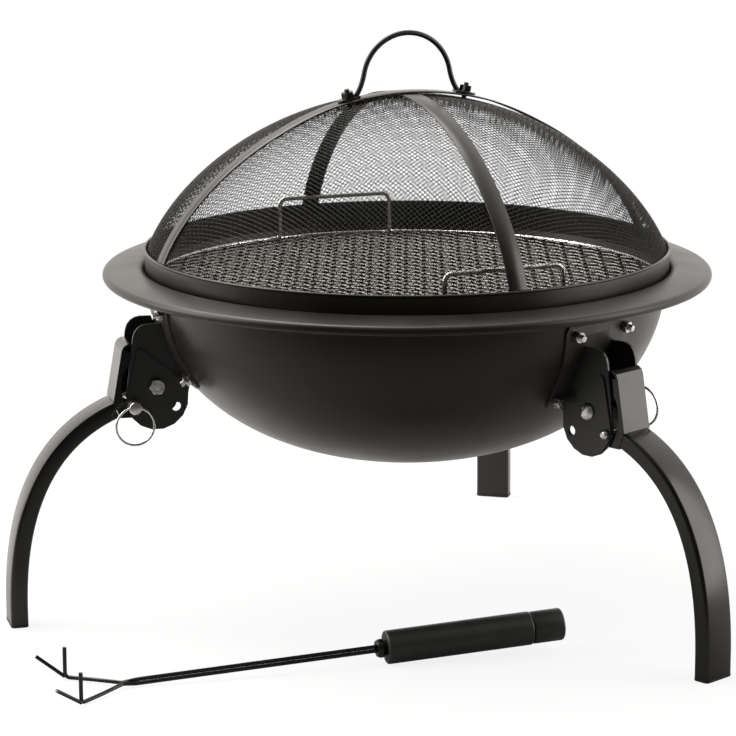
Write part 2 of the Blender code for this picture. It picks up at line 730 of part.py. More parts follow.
def pull_ring_mesh(lean):
    """The split ring in the pin's eye, leaning out by an angle from where it hangs."""
    points = [(RING_RADIUS * math.sin(a), RING_RADIUS * (1 - math.cos(a)) * math.sin(lean),
               -RING_RADIUS * (1 - math.cos(a)) * math.cos(lean))
              for a in (math.tau * i / 16 for i in range(16))]
    return wire_mesh("pull_ring", points, RING_WIRE, resolution=1, cyclic=True)


def build_legs(bowl):
    """Three legs alike, each on its own bracket; the second leg's ring is flipped up."""
    bracket = bracket_mesh()
    mount_bolt = mount_bolt_mesh()
    pivot_bolt = pivot_bolt_mesh()
    channel = channel_mesh()
    tube = leg_tube_mesh()
    foot_cap = foot_cap_mesh()
    lock_pin = lock_pin_mesh()
    rings = {flipped: pull_ring_mesh(FLIPPED_LEAN if flipped else 0) for flipped in (False, True)}
    for mesh, material in ((bracket, LEG_PAINT), (mount_bolt, ZINC), (pivot_bolt, ZINC), (channel, LEG_PAINT),
                           (tube, LEG_PAINT), (foot_cap, GRIP_PLASTIC), (lock_pin, ZINC),
                           (rings[False], ZINC), (rings[True], ZINC)):
        mesh.materials.clear()
        mesh.materials.append(material)
        smooth(mesh)
    for number in range(1, LEG_COUNT + 1):
        azimuth = math.pi + LEG_TURN + (number - 1) * math.tau / LEG_COUNT
        prefix = "leg_%d_" % number
        station = marker(prefix + "station", rotation=Matrix.Rotation(azimuth, 3, "Z"))
        hinge = marker(prefix + "hinge", station, (PIVOT[0], 0, PIVOT[1]))
        pin_axis = marker(prefix + "pin_axis", station, (LOCK[0], 0, LOCK[1]))
        ring_axis = marker(prefix + "ring_axis", pin_axis, (0, PIN_EYE_AT, 0))
        mesh_object(prefix + "bracket", bracket, None, parent=station)
        for index, (spot, turn) in enumerate(mount_bolt_frames()):
            mesh_object(prefix + "mount_bolt_%d" % (index + 1), mount_bolt, None, parent=station,
                        location=spot, rotation=turn)
            combine(bowl, mount_drill(prefix + "mount_hole_%d" % (index + 1)), "DIFFERENCE", parent=station,
                    location=spot, rotation=turn)
        mesh_object(prefix + "pivot_bolt", pivot_bolt, None, parent=station, location=(PIVOT[0], 0, PIVOT[1]))
        mesh_object(prefix + "channel", channel, None, parent=hinge)
        mesh_object(prefix + "tube", tube, None, parent=hinge)
        mesh_object(prefix + "foot_cap", foot_cap, None, parent=hinge)
        mesh_object(prefix + "lock_pin", lock_pin, None, parent=pin_axis)
        mesh_object(prefix + "pull_ring", rings[number == FLIPPED_RING], None, parent=ring_axis)


# Lid

BAND_SEAT = seat_drop(BAND_RADIUS - BAND_FOOT_EASE + GAP)
STRAP_LIFT = STRAP_SHEET + GAP
# The dome's curve runs from this angle, at the top of the band, to a right angle at the crown
DOME_FOOT = math.asin(((BAND_TOP + GAP) / DOME_HEIGHT) ** 0.75)


def dome_point(angle, out=0):
    """Point (radius, height) of the dome's outer curve at an angle, moved outwards by a distance."""
    sine, cosine = math.sin(angle), math.cos(angle)
    run = Vector((DOME_HEIGHT * 4 / 3 * sine ** (1 / 3) * cosine, DOME_RADIUS * sine)).normalized()
    return DOME_RADIUS * cosine + run[0] * out, RIM_Z + DOME_HEIGHT * sine ** (4 / 3) + run[1] * out


def dome_angles(steps):
    return [DOME_FOOT + (math.pi / 2 - DOME_FOOT) * i / steps for i in range(steps + 1)]


def dome_seat(radius, out=0):
    """Place and lean of something that lies on the dome at a radius."""
    angle = math.acos(radius / DOME_RADIUS)
    x, z = dome_point(angle, out)
    inner = dome_point(angle, 0)
    outer = dome_point(angle, 1)
    return Vector((x, 0, z)), math.atan2(outer[0] - inner[0], outer[1] - inner[1])


def build_band(lid):
    """The ring of the spark guard, with a bead along its top edge."""
    outer = BAND_RADIUS
    inner = BAND_RADIUS - BAND_SHEET
    top = RIM_Z + BAND_TOP
    foot = at_drop(BAND_SEAT)
    bead_low = top - BAND_BEAD
    profile = [(inner, top), (outer + 1 * MM, top), (outer + 1.4 * MM, top - BAND_BEAD / 2),
               (outer, bead_low), (outer, foot + 2 * MM), (outer - BAND_FOOT_EASE, foot), (inner, foot),
               (inner, top)]
    mesh = welded(turned_mesh("lid_band", profile, BOWL_SIDES))
    smooth(mesh)
    return mesh_object("lid_band", mesh, BLACK_PAINT, parent=lid)


def build_screen(lid):
    """The domed mesh, as a thin closed shell just under the straps, its hem just inside the band's top."""
    under = -STRAP_SHEET - 0.4 * MM
    dome = [dome_point(angle, under) for angle in dome_angles(STRAP_STEPS // 2)]
    hem = (dome[0][0], RIM_Z + BAND_TOP - SCREEN_HEM)
    profile = [(0, dome[-1][1])] + dome[-2::-1] + [hem]
    mesh = turned_mesh("lid_screen", profile, BOWL_SIDES, sheet=SCREEN_SHEET)
    smooth(mesh, 60)
    return mesh_object("lid_screen", mesh, SCREEN_WIRE, parent=lid)


def build_strap(name, lid, turn, lift):
    """A flat hoop over the dome from one side of the band to the other."""
    top = []
    bottom = []
    for angle in dome_angles(STRAP_STEPS):
        radius = dome_point(angle)[0]
        rise = lift * min(1, max(0, (STRAP_RISE_END - radius) / (STRAP_RISE_END - STRAP_RISE_START)))
        top.append(dome_point(angle, rise))
        bottom.append(dome_point(angle, rise - STRAP_SHEET))
    crown_half = STRAP_WIDTH / 2 + 2 * MM
    for line in (top, bottom):
        line[0] = (line[0][0], top[0][1])
        line[-1] = (crown_half, line[-1][1])
    outline = top + [(-x, z) for x, z in top[::-1]] + [(-x, z) for x, z in bottom] + bottom[::-1]
    mesh = side_plate(name, [outline], STRAP_WIDTH, 0)
    smooth(mesh, 40)
    return mesh_object(name, mesh, BLACK_PAINT, parent=lid, rotation=Matrix.Rotation(turn, 3, "Z"))


def build_lid_handle(lid, strap, screen):
    """A wire bail whose flattened ends are bolted down through the upper strap and the mesh."""
    frame = marker("lid_handle_frame", lid, rotation=Matrix.Rotation(STRAP_TURN, 3, "Z"))
    top_z = RIM_Z + DOME_HEIGHT + HANDLE_TOP
    centre_z = top_z - HANDLE_ARC
    sweep = math.radians(78)
    bow = [(HANDLE_ARC * math.sin(a), 0, centre_z + HANDLE_ARC * math.cos(a))
           for a in (-sweep + 2 * sweep * i / 12 for i in range(13))]
    tab_middle = GAP + HANDLE_TAB_SHEET / 2
    spot, slope = dome_seat(HANDLE_BOLT_AT, STRAP_LIFT)
    seat = spot.z + tab_middle - (HANDLE_FOOT - HANDLE_BOLT_AT) * math.tan(slope) + 0.3 * MM
    points = [(-HANDLE_FOOT, 0, seat)] + bow + [(HANDLE_FOOT, 0, seat)]
    mesh = wire_mesh("lid_handle", points, HANDLE_WIRE, resolution=1)
    smooth(mesh, 60)
    handle = mesh_object("lid_handle", mesh, BLACK_PAINT, parent=frame)
    for side, label in ((1, "1"), (-1, "2")):
        lean = Matrix.Rotation(side * slope, 3, "Y")
        base = Vector((side * spot.x, 0, spot.z))
        tab = box_mesh("tab_" + label, (HANDLE_TAB_LENGTH, HANDLE_TAB_WIDTH, HANDLE_TAB_SHEET))
        shift = Vector((side * HANDLE_TAB_SHIFT, 0, tab_middle))
        combine(handle, tab, "UNION", parent=frame, location=base + lean @ shift, rotation=lean)
        for item in (handle, strap, screen):
            drill = rod_mesh("hole_" + label, HANDLE_BOLT / 2 + HOLE_SLACK, -9 * MM, 9 * MM, 8)
            combine(item, drill, "DIFFERENCE", parent=frame, location=base, rotation=lean)
        shank = HANDLE_BOLT / 2
        nut_foot = GAP + HANDLE_TAB_SHEET + GAP
        head_face = -STRAP_LIFT - STRAP_SHEET - SCREEN_SHEET - 1.6 * MM
        profile = [(0, nut_foot + 6 * MM), (shank, nut_foot + 6 * MM), (shank, nut_foot + 4 * MM),
                   (5 * MM, nut_foot + 4 * MM), (5 * MM, nut_foot), (shank, nut_foot), (shank, head_face),
                   (5 * MM, head_face), (0, head_face - 2 * MM)]
        bolt = turned_mesh("lid_handle_bolt", profile, 6)
        mesh_object("lid_handle_bolt_" + label, bolt, ZINC, parent=frame, location=base, rotation=lean)


def build_lid():
    lid = marker("lid_axis")
    build_band(lid)
    screen = build_screen(lid)
    build_strap("strap_lower", lid, STRAP_TURN + math.pi / 2, 0)
    strap = build_strap("strap_upper", lid, STRAP_TURN, STRAP_LIFT)
    build_lid_handle(lid, strap, screen)


# Grate

GRATE_SEAT = seat_drop(GRATE_RADIUS + GRATE_RING_WIRE / 2 + GAP)


def build_grate():
    """A round grate: crossing bars fused to each other and to a wire ring."""
    grate = marker("grate_axis", location=(0, 0, at_drop(GRATE_SEAT)))
    ring_line = [(x, y, 0) for x, y in circle((0, 0), GRATE_RADIUS, BOWL_SIDES)]
    ring = mesh_object("grate", wire_mesh("grate", ring_line, GRATE_RING_WIRE, resolution=1, cyclic=True), CHROME,
                       parent=grate)
    bars = int((GRATE_RADIUS - GRATE_RING_WIRE) / GRATE_PITCH)
    for lengthwise in (True, False):
        for i in range(-bars, bars + 1):
            offset = i * GRATE_PITCH
            length = 2 * math.sqrt(GRATE_RADIUS ** 2 - offset ** 2)
            size = (length, GRATE_BAR, GRATE_BAR) if lengthwise else (GRATE_BAR, length, GRATE_BAR)
            spot = (0, offset, 0) if lengthwise else (offset, 0, 0)
            bar = box_mesh("grate_bar_%s_%d" % ("x" if lengthwise else "y", i + bars), size)
            combine(ring, bar, "UNION", parent=grate, location=spot)
    return grate


def build_grate_handle(name, grate, turn):
    """A low wire bail standing on the grate, with its feet hooked on the bars."""
    half = GRATE_HANDLE_LENGTH / 2
    low = GRATE_BAR / 2 + GRATE_HANDLE_WIRE / 2 + GAP
    high = GRATE_HANDLE_HEIGHT
    bend = 7 * MM
    side = [(half + 9 * MM, low), (half + 3 * MM, low), (half, low + 3 * MM), (half, high - bend)]
    side += arc((half - bend, high - bend), bend, 0, math.pi / 2, 4)[1:]
    points = [(0, x, z) for x, z in side] + [(0, -x, z) for x, z in side[::-1]]
    mesh = wire_mesh(name, points, GRATE_HANDLE_WIRE, resolution=1)
    smooth(mesh, 60)
    outward = Matrix.Rotation(turn, 3, "Z")
    spot = outward @ Vector((GRATE_HANDLE_RADIUS, 0, 0))
    return mesh_object(name, mesh, CHROME, parent=grate, location=spot, rotation=outward)


# Poker

# Middle line of a strand off the poker's axis, so that its straight steps still clear the other strand
STRAND_RADIUS = (POKER_WIRE / 2 + 0.15 * MM) / math.cos(math.pi / POKER_TWIST_STEPS)


def build_poker():
    """Two twisted wires that part into a fork, with a moulded grip on a ferrule."""
    wire = POKER_WIRE / 2
    split = Vector((-POKER_LEFT, -POKER_FRONT, GROUND_Z + 2 * wire + 0.5 * MM))
    lift = GROUND_Z + POKER_GRIP_RADIUS + GAP - split.z
    slope = math.asin(lift / (POKER_REACH - POKER_GRIP_LENGTH))
    ahead = Vector((math.cos(POKER_HEADING), math.sin(POKER_HEADING), 0))
    run = ahead * math.cos(slope) + Vector((0, 0, math.sin(slope)))
    tail = split + run * POKER_REACH
    side = Vector((-ahead.y, ahead.x, 0))
    rise = run.cross(side)
    grip_head = tail - run * POKER_GRIP_LENGTH
    twist = (grip_head - split).length
    steps = round(twist / POKER_TWIST_PITCH * POKER_TWIST_STEPS)
    poker = marker("poker_axis")
    for index, outward in enumerate((side, -side)):
        phase = math.pi * index
        strand = []
        for i in range(steps + 1):
            length = twist * i / steps
            angle = phase + math.tau * length / POKER_TWIST_PITCH
            strand.append(split + run * length + STRAND_RADIUS * (math.cos(angle) * side + math.sin(angle) * rise))
        node = split - ahead * FORK_REACH + outward * FORK_HALF_SPREAD
        node.z = GROUND_Z + wire + GAP
        name = "poker_wire_%d" % (index + 1)
        prong = [node + Vector((0, 0, PRONG_HEIGHT)), node + Vector((0, 0, 3 * MM)), node]
        lead = node.lerp(strand[0], 0.5) + outward * MM
        mesh = wire_mesh(name, prong + [lead] + strand, POKER_WIRE, resolution=1)
        smooth(mesh, 60)
        item = mesh_object(name, mesh, LEG_PAINT, parent=poker)
        reach = node - ahead * SPUR_BACK + outward * SPUR_OUT + Vector((0, 0, SPUR_RISE))
        spur = wire_mesh(name + "_spur", [node + Vector((0, 0, 0.4 * MM)), reach], POKER_WIRE * 0.94, resolution=1)
        combine(item, spur, "UNION", parent=poker)
    build_grip(poker, tail, grip_head, run)


def build_grip(poker, tail, grip_head, run):
    turn = run.to_track_quat("Z", "Y")
    radius = POKER_GRIP_RADIUS
    length = POKER_GRIP_LENGTH
    bore = STRAND_RADIUS + POKER_WIRE / 2 + GAP
    outer = bore + 3 * MM
    ferrule = [(outer, -GAP), (outer + 1.5 * MM, -POKER_FERRULE_LENGTH / 2), (outer, -POKER_FERRULE_LENGTH),
               (bore, -POKER_FERRULE_LENGTH), (bore, -GAP), (outer, -GAP)]
    mesh = welded(turned_mesh("poker_ferrule", ferrule, 16))
    mesh_object("poker_ferrule", mesh, LEG_PAINT, parent=poker, location=grip_head, rotation=turn)
    cap_at = length - POKER_CAP_LENGTH
    profile = [(0, cap_at), (radius - 1.5 * MM, cap_at), (radius, cap_at - 2 * MM), (radius, 4 * MM),
               (radius - 3 * MM, 0.5 * MM), (0, 0.5 * MM)]
    mesh = turned_mesh("poker_grip", profile, 20)
    smooth(mesh)
    mesh_object("poker_grip", mesh, GRIP_PLASTIC, parent=poker, location=grip_head, rotation=turn)
    profile = [(0, length), (radius - 4 * MM, length), (radius - 0.5 * MM, length - 4 * MM),
               (radius - 0.5 * MM, cap_at + 2.5 * MM), (radius - 1.5 * MM, cap_at + GAP), (0, cap_at + GAP)]
    mesh = turned_mesh("poker_grip_cap", profile, 20)
    smooth(mesh)
    mesh_object("poker_grip_cap", mesh, GRIP_PLASTIC, parent=poker, location=grip_head, rotation=turn)


bowl_object = build_bowl()
build_legs(bowl_object)
build_lid()
grate_axis = build_grate()
for handle_name, handle_turn in zip(("grate_handle_back", "grate_handle_front"), GRATE_HANDLE_TURNS):
    build_grate_handle(handle_name, grate_axis, handle_turn)
build_poker()
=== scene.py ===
# %% [markdown]
# # A fire bowl with a mesh spark guard, on folding legs
#
# The CAD model holds the real sizes and the joints. This lesson gives it its looks, piece by piece:
# pressed sheet steel with a satin coat, woven wire, zinc hardware and moulded plastic.
# Each step says what the piece is on the real object, how it could be made, and why this way was chosen.

# %% Load the CAD frame
import math

import bmesh
import bpy
from mathutils import Matrix, Vector


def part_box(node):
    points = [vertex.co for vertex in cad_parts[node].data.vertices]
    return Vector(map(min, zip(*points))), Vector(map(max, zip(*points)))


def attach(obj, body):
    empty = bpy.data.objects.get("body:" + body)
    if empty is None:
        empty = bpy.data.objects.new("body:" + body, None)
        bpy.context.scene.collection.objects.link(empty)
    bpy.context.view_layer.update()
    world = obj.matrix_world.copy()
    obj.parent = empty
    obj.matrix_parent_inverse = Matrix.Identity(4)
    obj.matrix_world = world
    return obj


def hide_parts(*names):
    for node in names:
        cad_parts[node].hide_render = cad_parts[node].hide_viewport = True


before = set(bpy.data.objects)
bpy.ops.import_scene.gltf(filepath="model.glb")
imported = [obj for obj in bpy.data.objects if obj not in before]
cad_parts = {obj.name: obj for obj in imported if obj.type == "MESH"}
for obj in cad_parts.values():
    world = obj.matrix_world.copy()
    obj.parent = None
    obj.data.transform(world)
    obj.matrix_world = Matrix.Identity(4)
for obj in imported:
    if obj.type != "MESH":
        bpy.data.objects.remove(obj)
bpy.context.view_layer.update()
MM = 0.001
print("nodes in the frame:", len(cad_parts))

# %% [markdown]
# ## Measures
#
# Everything sits on the CAD frame, so the main heights and radii are read from it. The rest are the
# sheet, wire and bolt sizes that the CAD source uses too, written in millimetres.

# %% Heights and radii of the frame
bowl_low, bowl_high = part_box("bowl")
BOWL_SHEET = -bowl_low.z
RIM_RADIUS = bowl_high.x - BOWL_SHEET
RIM_Z = bowl_high.z - BOWL_SHEET
BOWL_DEPTH = RIM_Z - bowl_low.z
GROUND_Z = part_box("leg_1_foot_cap")[0].z
FLANGE_WIDTH = 29 * MM
WALL_STEP = 11 * MM
MOUTH_RADIUS = RIM_RADIUS - FLANGE_WIDTH
WALL_RADIUS = MOUTH_RADIUS - WALL_STEP
GAP = 0.3 * MM
print("rim radius %.1f mm, rim %.1f mm above the ground" % (RIM_RADIUS / MM, (RIM_Z - GROUND_Z) / MM))

# %% [markdown]
# ## Camera
#
# The photograph was taken from far away with a long lens, a little above the rim. Its camera could be
# matched by eye, but it was solved from the ellipse of the rim and the three feet, so that every piece
# lands on its place in the picture.

# %% Camera
SENSOR = 36.0
PICTURE_SIDE = 736
FOCAL_IN_PIXELS = 3217.5
CAMERA_PAN = math.radians(-0.708)
CAMERA_TILT = math.radians(12.592)
CAMERA_ROLL = math.radians(-0.122)
CAMERA_DISTANCE = 2.9325
CAMERA_HEIGHT = 0.8731


def make_camera():
    """The solved camera, whose place is straight in front of the bowl's middle."""
    forward = Vector((math.sin(CAMERA_PAN) * math.cos(CAMERA_TILT),
                      math.cos(CAMERA_PAN) * math.cos(CAMERA_TILT), -math.sin(CAMERA_TILT)))
    level = forward.cross(Vector((0, 0, 1))).normalized()
    above = level.cross(forward)
    right = math.cos(CAMERA_ROLL) * level + math.sin(CAMERA_ROLL) * above
    up = math.cos(CAMERA_ROLL) * above - math.sin(CAMERA_ROLL) * level
    data = bpy.data.cameras.new("camera")
    data.sensor_width = SENSOR
    data.lens = FOCAL_IN_PIXELS / PICTURE_SIDE * SENSOR
    camera = bpy.data.objects.new("camera", data)
    bpy.context.scene.collection.objects.link(camera)
    turn = Matrix((right, up, -forward)).transposed()
    place = Vector((0, -CAMERA_DISTANCE, GROUND_Z + CAMERA_HEIGHT))
    camera.matrix_world = Matrix.Translation(place) @ turn.to_4x4()
    bpy.context.scene.camera = camera
    return camera


make_camera()

# %% [markdown]
# ## Small helpers
#
# Most pieces are a profile turned about an axis, a wire along a path, or a flat outline of some
# thickness. Blender has a tool for each: the Screw modifier, a curve with a bevel, and a filled 2D
# curve. The helpers below bake their result into a plain mesh, so that every piece ends as real geometry.


# %% Bake and smooth
def baked(holder):
    """Turns an object with modifiers, or a curve, into a plain mesh, and removes the object."""
    if holder.name not in bpy.context.scene.collection.objects:
        bpy.context.scene.collection.objects.link(holder)
    bpy.context.view_layer.update()
    mesh = bpy.data.meshes.new_from_object(holder.evaluated_get(bpy.context.evaluated_depsgraph_get()))
    bpy.data.objects.remove(holder, do_unlink=True)
    return mesh


def welded(mesh, smooth_angle=35, dist=1e-6):
    """Joins points that meet, turns all sides outwards and smooths what isn't a real edge."""
    body = bmesh.new()
    body.from_mesh(mesh)
    bmesh.ops.remove_doubles(body, verts=body.verts, dist=dist)
    bmesh.ops.recalc_face_normals(body, faces=body.faces)
    body.to_mesh(mesh)
    body.free()
    mesh.shade_smooth()
    mesh.set_sharp_from_angle(angle=math.radians(smooth_angle))
    return mesh


def joined(name, meshes):
    """Several meshes as one."""
    body = bmesh.new()
    for mesh in meshes:
        body.from_mesh(mesh)
    mesh = bpy.data.meshes.new(name)
    body.to_mesh(mesh)
    body.free()
    return welded(mesh)


# %% Place a piece
def piece(name, mesh, material, body, stands_for=(), at=None):
    """Puts a mesh in its place in the scene, as a piece that rides on a CAD body and takes a finish."""
    if at is not None:
        mesh = mesh.copy()
        mesh.name = name
        mesh.transform(at)
    mesh.materials.clear()
    mesh.materials.append(material)
    item = bpy.data.objects.new(name, mesh)
    bpy.context.scene.collection.objects.link(item)
    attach(item, body)
    if stands_for:
        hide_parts(*stands_for)
    return item


# %% Turn a profile
ROUND_STEPS = 160


def turned(name, profile, steps=ROUND_STEPS, sheet=None, smooth_angle=35):
    """Revolves a profile of (radius, height) about Z, as a solid or as sheet of a thickness."""
    line = bpy.data.meshes.new(name)
    line.from_pydata([(r, 0, z) for r, z in profile], [(i, i + 1) for i in range(len(profile) - 1)], [])
    holder = bpy.data.objects.new(name, line)
    screw = holder.modifiers.new("turn", "SCREW")
    screw.steps = steps
    screw.render_steps = steps
    screw.use_merge_vertices = True
    screw.merge_threshold = 1e-6
    if sheet:
        shell = holder.modifiers.new("sheet", "SOLIDIFY")
        shell.thickness = sheet
        shell.offset = -1
        shell.use_even_offset = True
    return welded(baked(holder), smooth_angle)


# %% Bend wire, cut plate
def wire(name, points, diameter, closed=False, resolution=4, smooth_angle=60):
    """A round wire through points, with flat ends."""
    curve = bpy.data.curves.new(name, "CURVE")
    curve.dimensions = "3D"
    curve.bevel_depth = diameter / 2
    curve.bevel_resolution = resolution
    curve.use_fill_caps = not closed
    spline = curve.splines.new("POLY")
    spline.points.add(len(points) - 1)
    for knot, spot in zip(spline.points, points):
        knot.co = (*spot, 1)
    spline.use_cyclic_u = closed
    return welded(baked(bpy.data.objects.new(name, curve)), smooth_angle)


def plate(name, loops, thickness, edge=0.3 * MM):
    """A flat outline in XY with its holes, of a thickness, with softened edges."""
    curve = bpy.data.curves.new(name, "CURVE")
    curve.dimensions = "2D"
    curve.fill_mode = "BOTH"
    curve.extrude = thickness / 2 - edge
    curve.bevel_depth = edge
    curve.offset = -edge
    curve.bevel_resolution = 1
    for loop in loops:
        spline = curve.splines.new("POLY")
        spline.points.add(len(loop) - 1)
        for knot, (x, y) in zip(spline.points, loop):
            knot.co = (x, y, 0, 1)
        spline.use_cyclic_u = True
    return welded(baked(bpy.data.objects.new(name, curve)), 30)


# %% Arcs and lofts
def arc(centre, radius, start, end, steps):
    """Points on an arc in a plane, from one angle to another."""
    angles = [start + (end - start) * i / steps for i in range(steps + 1)]
    return [(centre[0] + radius * math.cos(a), centre[1] + radius * math.sin(a)) for a in angles]


def lofted(name, rings, closed_ends=True, smooth_angle=35):
    """Skins a row of rings that have the same number of points."""
    body = bmesh.new()
    rows = [[body.verts.new(point) for point in ring] for ring in rings]
    count = len(rings[0])
    for low, high in zip(rows[:-1], rows[1:]):
        for i in range(count):
            j = (i + 1) % count
            body.faces.new((low[i], low[j], high[j], high[i]))
    if closed_ends:
        body.faces.new(rows[0][::-1])
        body.faces.new(rows[-1])
    mesh = bpy.data.meshes.new(name)
    body.to_mesh(mesh)
    body.free()
    return welded(mesh, smooth_angle)


# %% [markdown]
# ## Finishes
#
# The sheet metal has a baked satin black coat with a very fine orange peel. It could be a flat colour
# with one roughness, but real coats reflect a little unevenly, and that is what makes large dark
# surfaces read as metal. Noise in object space drives colour, roughness and a fine bump, all at real scale.


# %% A shader and its noise
def material(name, colour, metallic, roughness, shine=0.5):
    """A material with one shader, and its node tree."""
    made = bpy.data.materials.new(name)
    made.use_nodes = True
    shader = made.node_tree.nodes["Principled BSDF"]
    shader.inputs["Base Color"].default_value = (*colour, 1)
    shader.inputs["Metallic"].default_value = metallic
    shader.inputs["Roughness"].default_value = roughness
    shader.inputs["Specular IOR Level"].default_value = shine
    return made, made.node_tree, shader


def noise(tree, scale, detail=2.0):
    """A noise texture in object space, so its scale is in waves per metre."""
    spot = tree.nodes.new("ShaderNodeTexCoord")
    texture = tree.nodes.new("ShaderNodeTexNoise")
    texture.inputs["Scale"].default_value = scale
    texture.inputs["Detail"].default_value = detail
    tree.links.new(spot.outputs["Object"], texture.inputs["Vector"])
    return texture.outputs["Fac"]


# %% Drive a shader by a texture
NOISE_LOW = 0.3
NOISE_HIGH = 0.7


def mapped(tree, source, start, end, low, high):
    """Maps one range of values to another."""
    ranger = tree.nodes.new("ShaderNodeMapRange")
    ranger.inputs["From Min"].default_value = start
    ranger.inputs["From Max"].default_value = end
    ranger.inputs["To Min"].default_value = low
    ranger.inputs["To Max"].default_value = high
    tree.links.new(source, ranger.inputs["Value"])
    return ranger.outputs["Result"]


def spread(tree, source, low, high, socket):
    """Maps a texture's middle range to a range of values on a shader's socket."""
    tree.links.new(mapped(tree, source, NOISE_LOW, NOISE_HIGH, low, high), socket)


def tint(tree, source, dark, light, socket):
    """Blends two colours by a texture."""
    ramp = tree.nodes.new("ShaderNodeValToRGB")
    ramp.color_ramp.elements[0].position = NOISE_LOW
    ramp.color_ramp.elements[1].position = NOISE_HIGH
    ramp.color_ramp.elements[0].color = (*dark, 1)
    ramp.color_ramp.elements[1].color = (*light, 1)
    tree.links.new(source, ramp.inputs["Fac"])
    tree.links.new(ramp.outputs["Color"], socket)


def relief(tree, source, height, shader, strength=1.0):
    """Bumps a shader's surface by a texture, of a real height."""
    bump = tree.nodes.new("ShaderNodeBump")
    bump.inputs["Distance"].default_value = height
    bump.inputs["Strength"].default_value = strength
    tree.links.new(source, bump.inputs["Height"])
    tree.links.new(bump.outputs["Normal"], shader.inputs["Normal"])


# %% Black coats
CLOUD_WAVES = 14
PEEL_WAVES = 700


def satin_coat(name, dark, light, smoother, rougher, peel, shine):
    """A black coat: broad clouds of colour and gloss, and a fine orange peel of a height."""
    made, tree, shader = material(name, light, 0.0, smoother, shine)
    clouds = noise(tree, CLOUD_WAVES, 3)
    tint(tree, clouds, dark, light, shader.inputs["Base Color"])
    spread(tree, clouds, smoother, rougher, shader.inputs["Roughness"])
    relief(tree, noise(tree, PEEL_WAVES, 2), peel, shader, 0.5)
    return made


BOWL_COAT = satin_coat("bowl_satin_coat", (0.0105, 0.0088, 0.0068), (0.0165, 0.0141, 0.011), 0.32, 0.42,
                       0.02 * MM, 0.34)
LEG_COAT = satin_coat("leg_gloss_coat", (0.003, 0.0028, 0.0025), (0.006, 0.0056, 0.005), 0.18, 0.28,
                      0.012 * MM, 0.45)
BRACKET_COAT = satin_coat("bracket_satin_coat", (0.012, 0.0112, 0.0104), (0.02, 0.0188, 0.0176), 0.36, 0.46,
                          0.015 * MM, 0.6)
GUARD_COAT = satin_coat("guard_satin_coat", (0.006, 0.0053, 0.0045), (0.011, 0.01, 0.0087), 0.28, 0.4,
                        0.015 * MM, 0.45)
WIRE_COAT = satin_coat("wire_coat", (0.006, 0.0056, 0.005), (0.014, 0.013, 0.012), 0.3, 0.45,
                       0.004 * MM, 0.35)
print("coats:", [coat.name for coat in (BOWL_COAT, LEG_COAT, BRACKET_COAT, GUARD_COAT, WIRE_COAT)])


# %% [markdown]
# The bolts, pins and rings are zinc plated, the grate's ring and bails are bright chromed wire, and its
# weave is duller steel. Plating could be a plain mirror, but small parts then flicker between black and
# white. A little cloudy roughness spreads each glint over a few pixels, as real plating does.


# %% Bright metals
def bright_metal(name, dark, light, smoother, rougher, waves):
    """Bare or plated metal with a cloudy gloss, of so many waves per metre."""
    made, tree, shader = material(name, light, 1.0, smoother)
    cloud = noise(tree, waves, 4)
    tint(tree, cloud, dark, light, shader.inputs["Base Color"])
    spread(tree, cloud, smoother, rougher, shader.inputs["Roughness"])
    return made


GRATE_STEEL = bright_metal("grate_wire", (0.14, 0.135, 0.125), (0.3, 0.29, 0.275), 0.2, 0.36, 90)
ZINC = bright_metal("bright_zinc", (0.58, 0.58, 0.57), (0.82, 0.82, 0.8), 0.16, 0.34, 260)
CHROME = bright_metal("chrome_wire", (0.6, 0.59, 0.58), (0.8, 0.79, 0.78), 0.1, 0.22, 120)
print("metals:", [metal.name for metal in (GRATE_STEEL, ZINC, CHROME)])


# %% [markdown]
# The poker's grip and the foot plugs are moulded plastic with a fine grain. A bump texture could be
# painted, but noise in object space needs no unwrapping, and one helper serves both pieces.

# %% Moulded plastics
GRAIN_WAVES = 1500
STREAK_WAVES = 40


def moulded(name, dark, light, roughness, grain):
    """Matt plastic with a grain of a height."""
    made, tree, shader = material(name, light, 0.0, roughness)
    tint(tree, noise(tree, STREAK_WAVES, 2), dark, light, shader.inputs["Base Color"])
    fine = noise(tree, GRAIN_WAVES, 3)
    spread(tree, fine, roughness - 0.06, roughness + 0.08, shader.inputs["Roughness"])
    relief(tree, fine, grain, shader, 0.6)
    return made


GRIP_PLASTIC = moulded("grip_plastic", (0.012, 0.012, 0.012), (0.02, 0.02, 0.019), 0.42, 0.05 * MM)
FOOT_PLASTIC = moulded("foot_plastic", (0.008, 0.008, 0.008), (0.014, 0.014, 0.014), 0.5, 0.03 * MM)
print("plastics:", GRIP_PLASTIC.name, FOOT_PLASTIC.name)

# %% [markdown]
# ## Studio
#
# The product stands on white, with bright sides and a dark front: the flange is light at its left and
# right ends and black in front. Lamps alone could do it, but a sky that is dimmer on the camera's side
# gives the same broad reflections with less noise. To the camera itself the sky is plain white.

# %% Sky
WARM = (1.0, 0.965, 0.925)
SKY_FRONT = 0.08
SKY_BACK = 1.45
SKY_TURNS = (-0.6, 0.4)


